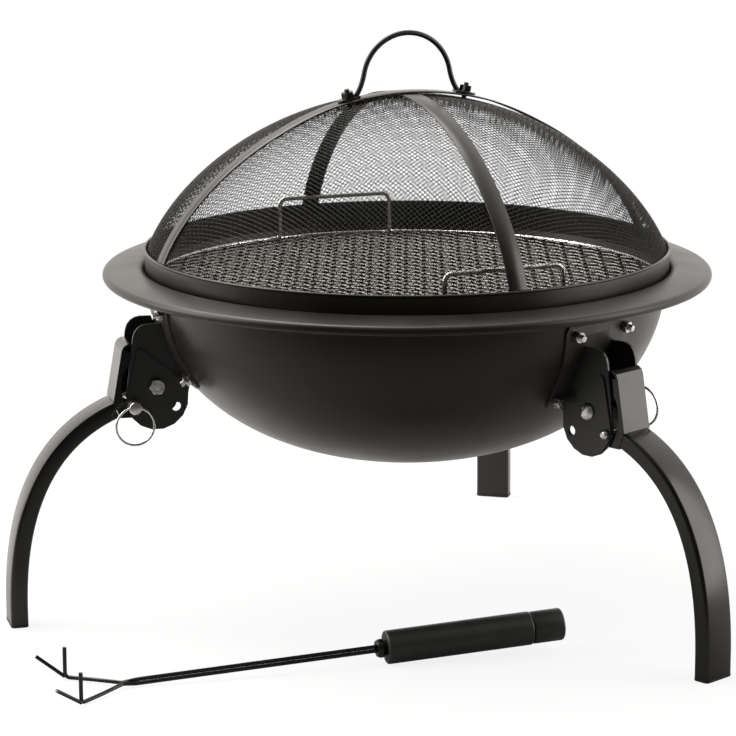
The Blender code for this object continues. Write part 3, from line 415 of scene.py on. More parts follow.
def make_sky():
    """White to the camera; for the object, dim in front and bright behind."""
    world = bpy.data.worlds.new("studio")
    bpy.context.scene.world = world
    world.use_nodes = True
    tree = world.node_tree
    tree.nodes.clear()
    spot = tree.nodes.new("ShaderNodeTexCoord")
    axes = tree.nodes.new("ShaderNodeSeparateXYZ")
    soft = tree.nodes.new("ShaderNodeBackground")
    white = tree.nodes.new("ShaderNodeBackground")
    ray = tree.nodes.new("ShaderNodeLightPath")
    mix = tree.nodes.new("ShaderNodeMixShader")
    out = tree.nodes.new("ShaderNodeOutputWorld")
    tree.links.new(spot.outputs["Generated"], axes.inputs["Vector"])
    tree.links.new(mapped(tree, axes.outputs["Y"], *SKY_TURNS, SKY_FRONT, SKY_BACK), soft.inputs["Strength"])
    white.inputs["Color"].default_value = (1, 1, 1, 1)
    soft.inputs["Color"].default_value = (*WARM, 1)
    tree.links.new(ray.outputs["Is Camera Ray"], mix.inputs["Fac"])
    tree.links.new(soft.outputs["Background"], mix.inputs[1])
    tree.links.new(white.outputs["Background"], mix.inputs[2])
    tree.links.new(mix.outputs["Shader"], out.inputs["Surface"])


make_sky()


# %% [markdown]
# The floor is a sheet of white paper that keeps a faint shadow. A white plane could be lit until it
# clips, but that light would spill on the object. So the paper is mostly white by itself to the camera,
# and for the object's reflections it is grey with painted shade, darker in front.

# %% Look of the floor
FLOOR_RADIUS = 1.3
WHITE_SHARE = 0.84
FADE_FROM = 0.7
FADE_TO = 0.95 * FLOOR_RADIUS
# Painted shade on the floor for the object's reflections: greys from the front to the back.
FLOOR_SHADE_SPAN = (-0.75, 0.1)
FLOOR_SHADE_GREYS = (0.1, 0.62)


def floor_paper():
    """White to the camera with a faint shadow, that fades out before the edge; to the object, grey with
    painted shade, darker in front.
    """
    paper, tree, shader = material("white_floor", (0.88, 0.88, 0.88), 0.0, 0.9, 0.0)
    spot = tree.nodes.new("ShaderNodeTexCoord")
    axes = tree.nodes.new("ShaderNodeSeparateXYZ")
    away = tree.nodes.new("ShaderNodeVectorMath")
    away.operation = "LENGTH"
    tree.links.new(spot.outputs["Object"], axes.inputs["Vector"])
    tree.links.new(spot.outputs["Object"], away.inputs[0])
    # Painted shade: the grey the object sees in the floor, darker towards the front.
    dim = tree.nodes.new("ShaderNodeBsdfDiffuse")
    tree.links.new(mapped(tree, axes.outputs["Y"], *FLOOR_SHADE_SPAN, *FLOOR_SHADE_GREYS), dim.inputs["Color"])
    glow = tree.nodes.new("ShaderNodeEmission")
    ray = tree.nodes.new("ShaderNodeLightPath")
    seen = tree.nodes.new("ShaderNodeMixShader")
    either = tree.nodes.new("ShaderNodeMixShader")
    fade = mapped(tree, away.outputs["Value"], FADE_FROM, FADE_TO, WHITE_SHARE, 1)
    tree.links.new(fade, seen.inputs["Fac"])
    tree.links.new(shader.outputs["BSDF"], seen.inputs[1])
    tree.links.new(glow.outputs["Emission"], seen.inputs[2])
    tree.links.new(ray.outputs["Is Camera Ray"], either.inputs["Fac"])
    tree.links.new(dim.outputs["BSDF"], either.inputs[1])
    tree.links.new(seen.outputs["Shader"], either.inputs[2])
    tree.links.new(either.outputs["Shader"], tree.nodes["Material Output"].inputs["Surface"])
    return paper


# %% Floor
def make_floor():
    """A disc of paper under the feet, which is stage and not a piece."""
    body = bmesh.new()
    bmesh.ops.create_circle(body, cap_ends=True, segments=128, radius=FLOOR_RADIUS)
    mesh = bpy.data.meshes.new("floor")
    body.to_mesh(mesh)
    body.free()
    mesh.materials.append(floor_paper())
    floor = bpy.data.objects.new("floor", mesh)
    bpy.context.scene.collection.objects.link(floor)
    floor.location.z = GROUND_Z - 0.1 * MM


make_floor()

# %% [markdown]
# Product studios light dark coats with large soft boxes, because a coat shows the lamp's shape. Small
# lamps could give the same amount of light, but would leave hard spots. Three panels are enough: left,
# right and above.

# %% Lamps
PANEL_AIM = (0, 0, 0.1)


def soft_panel(name, place, width, height, watts):
    """A soft box that faces the object."""
    lamp = bpy.data.lights.new(name, "AREA")
    lamp.shape = "RECTANGLE"
    lamp.size = width
    lamp.size_y = height
    lamp.energy = watts
    lamp.color = WARM
    panel = bpy.data.objects.new(name, lamp)
    bpy.context.scene.collection.objects.link(panel)
    panel.location = place
    panel.rotation_euler = (Vector(PANEL_AIM) - Vector(place)).to_track_quat("-Z", "Y").to_euler()


soft_panel("panel_left", (-1.9, -0.1, 1.0), 1.2, 1.8, 34)
soft_panel("panel_right", (2.0, -0.35, 0.75), 1.3, 1.9, 28)
soft_panel("panel_above", (-0.8, 0.7, 2.1), 1.5, 1.5, 44)
bpy.context.scene.view_settings.view_transform = "Standard"

# %% [markdown]
# ## Bowl
#
# The bowl is one pressing: a full curve, a short flare at the mouth, a flat flange and a lip rolled
# down at its edge. A subdivided sphere would miss the flare, so the outer line is written as a formula
# and turned, then given the thickness of the sheet.

# %% Wall of the bowl
WALL_POWER = 2.2
WALL_UNDER = 8 * MM
WALL_REACH = BOWL_DEPTH + WALL_UNDER
FLARE_DEPTH = 18 * MM
FLARE_OUT = 9 * MM


def wall_radius(drop):
    """Outer radius of the bowl at a drop below its rim."""
    full = WALL_RADIUS * (1 - (max(drop, 0) / WALL_REACH) ** WALL_POWER) ** (1 / WALL_POWER)
    return full + FLARE_OUT * max(0, 1 - drop / FLARE_DEPTH) ** 2


def wall_normal(drop):
    """Outward unit normal, as (radial, up), of the bowl's outer face."""
    step = 0.5 * MM
    run = wall_radius(drop + step) - wall_radius(drop - step)
    length = math.hypot(2 * step, run)
    return 2 * step / length, run / length


# %% Bowl
MOUTH_ROUND = 6 * MM
MOUTH_STEPS = 6
RIM_DROP = 3.5 * MM
LIP_ROUND = 3 * MM
LIP_FROM = math.radians(-60)
LIP_TO = math.radians(84)
WALL_STATIONS = 44


def bowl_profile():
    """The outer line of the bowl, from the rolled lip over the flange and down to the middle."""
    lip_centre = (RIM_RADIUS - LIP_ROUND, RIM_Z - RIM_DROP - LIP_ROUND)
    lip = arc(lip_centre, LIP_ROUND, LIP_FROM, LIP_TO, 9)
    neck = wall_radius(MOUTH_ROUND)
    mouth = []
    for i in range(MOUTH_STEPS + 1):
        t = i / MOUTH_STEPS
        mouth.append(((1 - t) ** 2 * MOUTH_RADIUS + (2 * t * (1 - t) + t * t) * neck,
                      RIM_Z - t * t * MOUTH_ROUND))
    span = BOWL_DEPTH - MOUTH_ROUND
    drops = [MOUTH_ROUND + span * (1 - (1 - i / WALL_STATIONS) ** 1.5) for i in range(1, WALL_STATIONS + 1)]
    wall = [(wall_radius(drop), RIM_Z - drop) for drop in drops]
    return lip + mouth + wall + [(0, RIM_Z - BOWL_DEPTH)]


bowl_mesh = turned("bowl_pressing", bowl_profile(), sheet=BOWL_SHEET, smooth_angle=40)
piece("bowl_pressing", bowl_mesh, BOWL_COAT, "fire_bowl", ["bowl"])
print("bowl: %d faces" % len(bowl_mesh.polygons))

# %% [markdown]
# ## Band and dome of the spark guard
#
# A flat band with a rolled bead sits in the bowl's mouth. Over it rises a dome of woven wire, held by
# two crossed straps. The band could be a bent strip, but it is round, so its section is turned. The
# dome's outline is again a formula, shared by the cloth and the straps.

# %% Band
BAND_TOP = 17.5 * MM
BAND_OUT = 2.4 * MM
BAND_RADIUS = WALL_RADIUS + BAND_OUT
BAND_SHEET = 1.2 * MM
BAND_BEAD = 2.2 * MM
BAND_EDGE = 0.3 * MM
BAND_LEAD = (0.6 * MM, 2 * MM)
BAND_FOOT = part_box("lid_band")[0].z


def band_profile():
    """The closed section of the band: a bead at the top, and a lead at its foot."""
    inner = BAND_RADIUS - BAND_SHEET
    top = RIM_Z + BAND_TOP
    bead_centre = (BAND_RADIUS + BAND_EDGE, top - BAND_BEAD / 2)
    bead = arc(bead_centre, BAND_BEAD / 2, math.pi / 2, -math.pi / 2, 8)
    outside = [(BAND_RADIUS, top - BAND_BEAD - BAND_EDGE), (BAND_RADIUS, BAND_FOOT + BAND_LEAD[1]),
               (BAND_RADIUS - BAND_LEAD[0], BAND_FOOT)]
    inside = [(inner, BAND_FOOT), (inner, top - BAND_EDGE), (inner + BAND_EDGE, top)]
    return inside[-1:] + bead + outside + inside


band_mesh = turned("guard_band", band_profile())
piece("guard_band", band_mesh, GUARD_COAT, "spark_guard", ["lid_band"])
print("band: %d faces" % len(band_mesh.polygons))

# %% Dome outline
DOME_HEIGHT = 158.5 * MM
DOME_OUT = 3.6 * MM
DOME_RADIUS = BAND_RADIUS + DOME_OUT
DOME_FOOT = math.asin(((BAND_TOP + GAP) / DOME_HEIGHT) ** 0.75)


def dome_point(angle, out=0.0):
    """Point (radius, height) and outward normal of the dome, moved outwards by a distance."""
    sine, cosine = math.sin(angle), math.cos(angle)
    run = Vector((DOME_HEIGHT * 4 / 3 * sine ** (1 / 3) * cosine, DOME_RADIUS * sine)).normalized()
    return (DOME_RADIUS * cosine + run[0] * out, RIM_Z + DOME_HEIGHT * sine ** (4 / 3) + run[1] * out), run


# %% [markdown]
# ## The woven dome
#
# The mesh is flat woven wire, pressed into a dome. A texture with holes would look right only from far
# away and leave nothing to touch, so each wire is real: a square grid on a flat disc, carried onto the
# dome by its distance from the crown, and lifted and dipped at each crossing. Warp and weft are a piece each.

# %% Distance along the dome
MESH_UNDER = -2.5 * MM
ARC_STEPS = 400


def arc_table(under):
    """Distance along the dome from the crown, with the point and normal there."""
    rows = []
    length = 0.0
    last = None
    for i in range(ARC_STEPS + 1):
        angle = math.pi / 2 - (math.pi / 2 - DOME_FOOT) * i / ARC_STEPS
        spot, run = dome_point(angle, under)
        if i == 0:
            spot = (0.0, spot[1])
        if last is not None:
            length += math.hypot(spot[0] - last[0], spot[1] - last[1])
        rows.append((length, spot, run))
        last = spot
    return rows


DOME_ARC = arc_table(MESH_UNDER)
DOME_REACH = DOME_ARC[-1][0]
print("from crown to band along the dome: %.0f mm" % (DOME_REACH / MM))


# %% From the flat cloth to the dome
def on_dome(x, y, lift):
    """Where a point of the flat cloth lands on the dome, with its outward normal."""
    away = math.hypot(x, y)
    if away >= DOME_REACH:
        radius, height = DOME_ARC[-1][1]
        height -= away - DOME_REACH
        out = Vector((1, 0))
    else:
        low = 0
        high = ARC_STEPS
        while high - low > 1:
            middle = (low + high) // 2
            if DOME_ARC[middle][0] > away:
                high = middle
            else:
                low = middle
        share = (away - DOME_ARC[low][0]) / (DOME_ARC[high][0] - DOME_ARC[low][0])
        a, b = DOME_ARC[low], DOME_ARC[high]
        radius = a[1][0] + (b[1][0] - a[1][0]) * share
        height = a[1][1] + (b[1][1] - a[1][1]) * share
        out = a[2].lerp(b[2], share).normalized()
    turn = math.atan2(y, x)
    flat = Vector((math.cos(turn), math.sin(turn)))
    normal = Vector((flat.x * out[0], flat.y * out[0], out[1]))
    return Vector((flat.x * radius, flat.y * radius, height)) + normal * lift, normal


# %% Weave
def woven_wires(name, along, reach, pitch, diameter, weave, land):
    """All the wires of one direction of a cloth, each a thin four-sided bar from hem to hem."""
    verts = []
    faces = []
    half = diameter / 2
    count = int(reach / pitch)
    for row in range(-count, count + 1):
        side = row * pitch
        span = math.sqrt(reach ** 2 - side ** 2)
        first = int(-span / pitch)
        last = int(span / pitch)
        stops = [i * pitch for i in range(first, last + 1)]
        lifts = [weave if (i + row + along) % 2 else -weave for i in range(first, last + 1)]
        stops = [-span] + stops + [span]
        lifts = [0.0] + lifts + [0.0]
        line = [land(*((s, side) if along else (side, s)), lift) for s, lift in zip(stops, lifts)]
        base = len(verts)
        for i, (spot, normal) in enumerate(line):
            ahead = line[min(i + 1, len(line) - 1)][0] - line[max(i - 1, 0)][0]
            across = ahead.cross(normal).normalized() * half
            up = normal * half
            verts += [spot + up, spot + across, spot - up, spot - across]
            if i:
                low, high = base + 4 * (i - 1), base + 4 * i
                faces += [(low + k, low + (k + 1) % 4, high + (k + 1) % 4, high + k) for k in range(4)]
        end = base + 4 * (len(line) - 1)
        faces += [(base + 3, base + 2, base + 1, base), (end, end + 1, end + 2, end + 3)]
    mesh = bpy.data.meshes.new(name)
    mesh.from_pydata(verts, [], faces)
    mesh.shade_smooth()
    return mesh


# %% Warp and weft of the dome
MESH_PITCH = 4 * MM
MESH_WIRE = 0.57 * MM
MESH_WEAVE = 0.26 * MM
MESH_HEM = 8.5 * MM
MESH_TURN = math.radians(40)


def turned_cloth(x, y, lift):
    """The cloth lies turned on the bowl, so that its wires cross the view slantwise."""
    c, s = math.cos(MESH_TURN), math.sin(MESH_TURN)
    return on_dome(x * c - y * s, x * s + y * c, lift)


for way, label in ((1, "warp"), (0, "weft")):
    cloth = woven_wires("guard_mesh_" + label, way, DOME_REACH + MESH_HEM, MESH_PITCH, MESH_WIRE,
                        MESH_WEAVE, turned_cloth)
    piece(cloth.name, cloth, WIRE_COAT, "spark_guard", ["lid_screen"])
    print(cloth.name, len(cloth.polygons), "faces")

# %% [markdown]
# ## Straps
#
# Two flat steel straps cross over the dome, one on top of the other at the crown. Each could be a curve
# with a flat bevel, but that twists on a dome. Here each is a strip of eight-sided sections, set along the
# dome's own normals, so its edges are soft and it lies flat all the way.

# %% Straps
STRAP_WIDTH = 17.5 * MM
STRAP_SHEET = 1.5 * MM
STRAP_EDGE = 0.45 * MM
STRAP_LIFT = STRAP_SHEET + GAP
STRAP_TURN = math.radians(23.5)
STRAP_STEPS = 40
STRAP_RISE_START = 80 * MM
STRAP_RISE_END = 130 * MM


def strap_mesh(name, lift):
    """A strip over the dome, from one side of the band to the other."""
    half = STRAP_WIDTH / 2
    soft = STRAP_EDGE
    rings = []
    for i in range(-STRAP_STEPS, STRAP_STEPS + 1):
        side = -1 if i < 0 else 1
        angle = math.pi / 2 - (math.pi / 2 - DOME_FOOT) * abs(i) / STRAP_STEPS
        radius = dome_point(angle)[0][0]
        near = (STRAP_RISE_END - radius) / (STRAP_RISE_END - STRAP_RISE_START)
        rise = lift * min(1, max(0, near))
        (r, z), run = dome_point(angle, rise)
        if i == 0:
            r = 0.0
        out = Vector((side * run[0], 0, run[1]))
        top = Vector((side * r, 0, z))
        low = top - out * STRAP_SHEET
        y = Vector((0, 1, 0))
        rings.append([top - y * (half - soft), top + y * (half - soft), top + y * half - out * soft,
                      low + y * half + out * soft, low + y * (half - soft), low - y * (half - soft),
                      low - y * half + out * soft, top - y * half - out * soft])
    return lofted(name, rings, smooth_angle=50)


strap_turn = Matrix.Rotation(STRAP_TURN, 4, "Z")
across = Matrix.Rotation(math.pi / 2, 4, "Z")
for name, lift, turn in (("strap_lower", 0.0, strap_turn @ across), ("strap_upper", STRAP_LIFT, strap_turn)):
    piece("guard_" + name, strap_mesh(name, lift), GUARD_COAT, "spark_guard", [name], turn)
print("straps: %.1f mm wide, the upper one over the lower by %.1f mm" % (STRAP_WIDTH / MM, STRAP_LIFT / MM))

# %% [markdown]
# ## Bolts and nuts
#
# The real ones are zinc plated machine screws with domed heads, plain hexagon nuts and a bit of thread
# standing out. A nut could be a six-sided cylinder, but a real one has its corners turned round on both
# faces. So it is turned first and then cut to six sides by a Boolean. The thread is fine ridges.

# %% Thread and nut
THREAD_PITCH = 1 * MM
THREAD_DEPTH = 0.35 * MM
NUT_SIDES = 6


def threads(radius, start, end):
    """The outline of a threaded end: fine ridges."""
    line = []
    count = max(1, round((end - start) / THREAD_PITCH))
    step = (end - start) / count
    for i in range(count):
        line += [(radius, start + step * i), (radius - THREAD_DEPTH, start + step * (i + 0.5))]
    return line + [(radius - 0.3 * MM, end), (0, end + 0.3 * MM)]


def hex_nut(name, corner, bore, low, high):
    """A six-sided nut with its corners turned round, and a plain bore. The corner is a radius."""
    nut = turned(name, [(bore, low), (corner * 0.9, low), (corner, low + 0.5 * MM), (corner, high - 0.8 * MM),
                        (corner * 0.86, high), (bore, high), (bore, low)], 48)
    under, over = low - 1 * MM, high + 1 * MM
    block = turned("hex", [(0, under), (corner, under), (corner, over), (0, over)], NUT_SIDES)
    cutter = bpy.data.objects.new("hex", block)
    bpy.context.scene.collection.objects.link(cutter)
    holder = bpy.data.objects.new(name, nut)
    cut = holder.modifiers.new("hex", "BOOLEAN")
    cut.operation = "INTERSECT"
    cut.solver = "EXACT"
    cut.object = cutter
    mesh = welded(baked(holder), 25)
    bpy.data.objects.remove(cutter, do_unlink=True)
    return mesh


# %% Bolt
NUT_CORNER = 5.6 * MM
HEAD_RADIUS = 6.5 * MM
HEAD_RIM = 0.6 * MM
BORE_SLACK = 0.05 * MM


def domed_head(radius, height, rim, face):
    """The outline of a domed bolt head that stands below its face."""
    turns = [math.pi / 2 * i / 6 for i in range(7)]
    return [(radius * math.sin(a), face - rim - (height - rim) * math.cos(a)) for a in turns]


def bolt_with_nut(name, shank, head_radius, head_height, head_face, nut_foot, nut_height, end):
    """A round-headed bolt from below, its nut, and its threaded end standing out of it."""
    head = domed_head(head_radius, head_height, HEAD_RIM, head_face)
    outline = head + [(head_radius, head_face), (shank, head_face), (shank, nut_foot)]
    rod = turned(name + "_rod", outline + threads(shank, nut_foot + 0.1 * MM, end), 24)
    corner = NUT_CORNER * head_radius / HEAD_RADIUS
    nut = hex_nut(name + "_nut", corner, shank + BORE_SLACK, nut_foot, nut_foot + nut_height)
    return joined(name, [rod, nut])


# %% [markdown]
# ## Carrying handle
#
# A bent wire whose flattened ends are bolted through the upper strap. The bend could be one spline drawn
# by hand, but an arc and two short blends are the way a bender makes it. The bolts are painted black.

# %% Measures of the handle
HANDLE_WIRE = 4.8 * MM
HANDLE_ARC = 43.3 * MM
HANDLE_TOP = 55 * MM
HANDLE_FOOT = 51.5 * MM
HANDLE_BOLT_AT = 57.5 * MM
HANDLE_TAB = (21 * MM, 11 * MM, 2 * MM)
HANDLE_HOLE = 2.9 * MM
HANDLE_SWEEP = math.radians(78)
HANDLE_SHANK = 2.5 * MM
HANDLE_HEAD = (7 * MM, 2 * MM)
HANDLE_NUT = 5.5 * MM
HANDLE_END = 8 * MM
MESH_ROOM = 2.8 * MM
BLEND_STEPS = 12


# %% Bail and tabs
def dome_seat(radius, out):
    """Place and slope of something that lies on the dome at a radius."""
    (x, z), run = dome_point(math.acos(radius / DOME_RADIUS), out)
    return x, z, math.atan2(run[0], run[1])


bolt_x, bolt_z, bolt_slope = dome_seat(HANDLE_BOLT_AT, STRAP_LIFT)
bolt_seats = {}
for side in (1, -1):
    lean = Matrix.Rotation(side * bolt_slope, 4, "Y")
    bolt_seats[side] = Matrix.Translation((side * bolt_x, 0, bolt_z)) @ lean


def handle_bail():
    """An arc of wire whose legs blend into feet on the tabs."""
    centre_z = RIM_Z + DOME_HEIGHT + HANDLE_TOP - HANDLE_ARC
    low = bolt_z + GAP + HANDLE_TAB[2] / 2 + (HANDLE_BOLT_AT - HANDLE_FOOT) * math.tan(bolt_slope)
    bow = arc((0, centre_z), HANDLE_ARC, math.pi / 2 - HANDLE_SWEEP, math.pi / 2 + HANDLE_SWEEP, 48)
    right = Vector((bow[0][0], bow[0][1]))
    foot = Vector((HANDLE_FOOT, low))
    bend = Vector((HANDLE_ARC + 1.5 * MM, low + 9 * MM))
    leg = []
    for i in range(1, BLEND_STEPS + 1):
        t = i / BLEND_STEPS
        leg.append((1 - t) ** 2 * right + 2 * t * (1 - t) * bend + t * t * foot)
    left_leg = [(-spot.x, 0, spot.y) for spot in leg[::-1]]
    right_leg = [(spot.x, 0, spot.y) for spot in leg]
    return wire("bail", left_leg + [(x, 0, z) for x, z in bow[::-1]] + right_leg, HANDLE_WIRE, resolution=5)


def handle_tab(side):
    """A flattened end with its hole, round on the outer side, on its seat on the strap."""
    length, width, sheet = HANDLE_TAB
    corner = width / 2
    hole = arc((0, 0), HANDLE_HOLE, 0, math.tau, 24)[:-1]
    outline = (arc((length / 2 - corner, 0), corner, -math.pi / 2, math.pi / 2, 10)
               + [(-length / 2, corner - 1 * MM), (-length / 2, 1 * MM - corner)])
    tab = plate("tab", [outline, hole], sheet)
    tab.transform(bolt_seats[side] @ Matrix.Translation((0, 0, GAP + sheet / 2))
                  @ Matrix.Rotation(0 if side > 0 else math.pi, 4, "Z"))
    return tab


# %% Carrying handle and its bolts
handle_mesh = joined("carrying_handle", [handle_bail(), handle_tab(1), handle_tab(-1)])
piece("carrying_handle", handle_mesh, GUARD_COAT, "spark_guard", ["lid_handle"], strap_turn)
nut_foot = GAP + HANDLE_TAB[2] + GAP
handle_bolt = bolt_with_nut("handle_bolt", HANDLE_SHANK, *HANDLE_HEAD, -STRAP_LIFT - STRAP_SHEET - MESH_ROOM,
                            nut_foot, HANDLE_NUT, nut_foot + HANDLE_END)
for side, label in ((1, "1"), (-1, "2")):
    piece("handle_bolt_" + label, handle_bolt, LEG_COAT, "spark_guard",
          ["lid_handle_bolt_" + label], strap_turn @ bolt_seats[side])
print("handle bolts: %.0f mm apart" % (2 * bolt_x / MM))

# %% [markdown]
# ## Grate
#
# Inside lies a round grate of crossed steel wires in a bright wire ring, with two bails to lift it by. An
# Array could repeat one wire, but they all end on the ring. It is the same weave as the dome's on a flat
# disc, so the same function makes it.

# %% Grate
GRATE_RADIUS = WALL_RADIUS - 4 * MM
GRATE_RING = 5 * MM
GRATE_WIRE = 1.8 * MM
GRATE_PITCH = 12 * MM
GRATE_WEAVE = 0.5 * MM
GRATE_Z = (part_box("grate")[0].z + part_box("grate")[1].z) / 2
GRATE_TURN = math.radians(45)


def on_grate(x, y, lift):
    """Where a point of the grate's wires lies, with its upward normal."""
    c, s = math.cos(GRATE_TURN), math.sin(GRATE_TURN)
    return Vector((x * c - y * s, x * s + y * c, GRATE_Z + lift)), Vector((0, 0, 1))


ring_line = arc((0, 0), GRATE_RADIUS, 0, math.tau, ROUND_STEPS)[:-1]
grate_ring = wire("grate_ring", [(x, y, GRATE_Z) for x, y in ring_line], GRATE_RING, closed=True)
piece("grate_ring", grate_ring, CHROME, "grate", ["grate"])
for way, label in ((1, "long"), (0, "cross")):
    bars = woven_wires("grate_wires_" + label, way, GRATE_RADIUS - 1 * MM, GRATE_PITCH, GRATE_WIRE,
                       GRATE_WEAVE, on_grate)
    piece(bars.name, bars, GRATE_STEEL, "grate", ["grate"])
    print(bars.name, len(bars.polygons), "faces")

# %% Bails of the grate
BAIL_WIRE = 4.5 * MM
BAIL_LENGTH = 114 * MM
BAIL_HEIGHT = 43 * MM
BAIL_BEND = 7 * MM
BAIL_TOE = (4 * MM, 9 * MM)
BAIL_RADIUS = GRATE_RADIUS - 28 * MM
BAIL_TURNS = {"back": math.radians(110), "front": math.radians(-66)}


def grate_bail():
    """A low wire bail whose feet turn out along the grate."""
    half = BAIL_LENGTH / 2
    toe, reach = BAIL_TOE
    low = 1.2 * MM + BAIL_WIRE / 2 + GAP
    foot = arc((half + toe, low + toe), toe, -math.pi / 2, -math.pi, 6)
    top = arc((half - BAIL_BEND, BAIL_HEIGHT - BAIL_BEND), BAIL_BEND, 0, math.pi / 2, 8)
    side = [(half + reach, low)] + foot + top
    return wire("grate_bail", [(0, x, z) for x, z in side] + [(0, -x, z) for x, z in side[::-1]], BAIL_WIRE)


bail = grate_bail()
for label, turn in BAIL_TURNS.items():
    place = (Matrix.Translation((0, 0, GRATE_Z)) @ Matrix.Rotation(turn, 4, "Z")
             @ Matrix.Translation((BAIL_RADIUS, 0, 0)))
    piece("grate_bail_" + label, bail, CHROME, "grate", ["grate_handle_" + label], place)

# %% [markdown]
# ## Legs
#
# Each leg is an arched box tube with a moulded plug in its foot, held in a folded channel that turns
# between two ears. The tube could be a curve with a bevel object, but a loft of rounded sections keeps
# its width level all the way down.

# %% Measures of a leg
LEG_TURN = math.radians(15.67)
LEG_WIDTH = 34 * MM
TUBE_DEPTH = 16 * MM
TUBE_WALL = 1.5 * MM
TUBE_CORNER = 3.5 * MM
FOOT_RADIUS = WALL_RADIUS + 131.5 * MM
PIVOT = (WALL_RADIUS + 2 * MM, RIM_Z - 98 * MM)
KNEE = (PIVOT[0] + 39.5 * MM, PIVOT[1] - 14 * MM)
KNEE_SLOPE = math.radians(22)
KNEE_PULL = 58 * MM
SHIN_PULL = 112 * MM
KNEE_FOOT = 20 * MM
SOLE = 2.5 * MM
PLUG = 12 * MM


# %% Section and arch of the tube
def rounded_section(width, depth, corner, steps=5):
    """A rounded box section as (inward, sideways), its outer face at zero."""
    far = depth - corner
    side = width / 2 - corner
    quarter = math.pi / 2
    points = []
    for turn, (x, y) in enumerate(((corner, side), (far, side), (far, -side), (corner, -side))):
        start = (2 - turn) * quarter
        points += arc((x, y), corner, start, start - quarter, steps)
    return points


def leg_path(steps=40):
    """Outer face line of the tube: a smooth arch from the knee, straight where the cap is."""
    start = Vector(KNEE)
    outer = FOOT_RADIUS + TUBE_DEPTH / 2
    end = Vector((outer, GROUND_Z + KNEE_FOOT))
    lead = start + KNEE_PULL * Vector((math.cos(KNEE_SLOPE), -math.sin(KNEE_SLOPE)))
    tail = end + Vector((0, SHIN_PULL))
    points = []
    for i in range(steps + 1):
        t = i / steps
        spot = (1 - t) ** 3 * start + 3 * (1 - t) ** 2 * t * lead + 3 * (1 - t) * t ** 2 * tail + t ** 3 * end
        slope = (1 - t) ** 2 * (lead - start) + 2 * (1 - t) * t * (tail - lead) + t ** 2 * (end - tail)
        points.append((spot, slope.normalized()))
    return points + [(Vector((outer, GROUND_Z + SOLE)), Vector((0, -1)))]


# %% Leg tubes and foot plugs
def leg_tube():
    """The tube's outer skin, down from the knee, and its inner skin, back up, in one loft."""

    def skin(inset):
        section = rounded_section(LEG_WIDTH - 2 * inset, TUBE_DEPTH - 2 * inset, TUBE_CORNER - inset)
        rings = []
        for spot, slope in leg_path():
            inward = Vector((slope[1], -slope[0]))
            rings.append([(spot[0] + inward[0] * (depth + inset), side, spot[1] + inward[1] * (depth + inset))
                          for depth, side in section])
        return rings

    outer = skin(0)
    return lofted("leg_tube", outer + skin(TUBE_WALL)[::-1] + outer[:1], closed_ends=False, smooth_angle=40)


def foot_plug():
    """A moulded plug in the end of the tube: a thin sole, flush with it, and the part inside."""

    def ring(slack, height):
        section = rounded_section(LEG_WIDTH + 2 * slack, TUBE_DEPTH + 2 * slack, TUBE_CORNER + slack)
        outer = FOOT_RADIUS + TUBE_DEPTH / 2 + slack
        return [(outer - depth, side, GROUND_Z + height) for depth, side in section]

    inside = -TUBE_WALL - 0.2 * MM
    rings = [ring(-0.8 * MM, 0), ring(-0.2 * MM, 0.2 * MM), ring(0.2 * MM, 0.8 * MM)]
    rings += [ring(0.2 * MM, SOLE - GAP / 2), ring(inside, SOLE - GAP / 2), ring(inside, SOLE + PLUG)]
    return lofted("foot_plug", rings)


tube_mesh = leg_tube()
cap_mesh = foot_plug()
stations = {number: Matrix.Rotation(math.pi + LEG_TURN + (number - 1) * math.tau / 3, 4, "Z")
            for number in (1, 2, 3)}
for number, station in stations.items():
    leg = "leg_%d" % number
    piece(leg + "_arch", tube_mesh, LEG_COAT, leg, [leg + "_tube"], station)
    piece(leg + "_foot", cap_mesh, FOOT_PLASTIC, leg, [leg + "_foot_cap"], station)
print("leg tube: %d faces" % len(tube_mesh.polygons))

# %% [markdown]
# ## Brackets, channels and their hardware
#
# The brackets are cut and folded plate, and the channels are folded round the tubes. They could be drawn
# again here, but the CAD shapes have every hole and fold already. They only get their coats, and soft
# edges from a Bevel modifier, because no cut edge is quite sharp and light catches on it.

# %% Brackets and channels
FOLD_SOFTNESS = 0.35 * MM
SHARP_ANGLE = math.radians(50)

for number in stations:
    for kind, coat in (("bracket", BRACKET_COAT), ("channel", LEG_COAT)):
        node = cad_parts["leg_%d_%s" % (number, kind)]
        node.data.materials.clear()
        node.data.materials.append(coat)
        soft = node.modifiers.new("soft_edges", "BEVEL")
        soft.width = FOLD_SOFTNESS
        soft.segments = 2
        soft.limit_method = "ANGLE"
        soft.angle_limit = SHARP_ANGLE
print("brackets and channels with soft edges:", 2 * len(stations))

# %% [markdown]
# Four bolts hold each bracket, with their heads inside the bowl and their nuts outside. They could be set
# by hand, but each stands square on the curved wall, so its place and lean come from the wall's formula.

# %% Bracket bolts
MOUNT_DROPS = (29 * MM, 89 * MM)
MOUNT_HALF_SPREAD = 31 * MM
MOUNT_SHANK = 3 * MM
MOUNT_HEAD = 2.6 * MM
MOUNT_NUT = 4.6 * MM
MOUNT_END = 11.7 * MM
PLATE_GAP = 0.5 * MM
PLATE_SHEET = 2 * MM
mount_bolt = bolt_with_nut("mount_bolt", MOUNT_SHANK, HEAD_RADIUS, MOUNT_HEAD, -BOWL_SHEET - GAP,
                           PLATE_GAP + PLATE_SHEET + 0.4 * MM, MOUNT_NUT, MOUNT_END)


def on_wall(drop, side):
    """A place on the bowl's outer wall, beside a leg's middle, with Z square to the wall."""
    out, up = wall_normal(drop)
    radius = wall_radius(drop)
    swing = side * math.asin(MOUNT_HALF_SPREAD / radius)
    spot = Vector((radius * math.cos(swing), radius * math.sin(swing), RIM_Z - drop))
    normal = Vector((out * math.cos(swing), out * math.sin(swing), up))
    return Matrix.Translation(spot) @ normal.to_track_quat("Z", "Y").to_matrix().to_4x4()


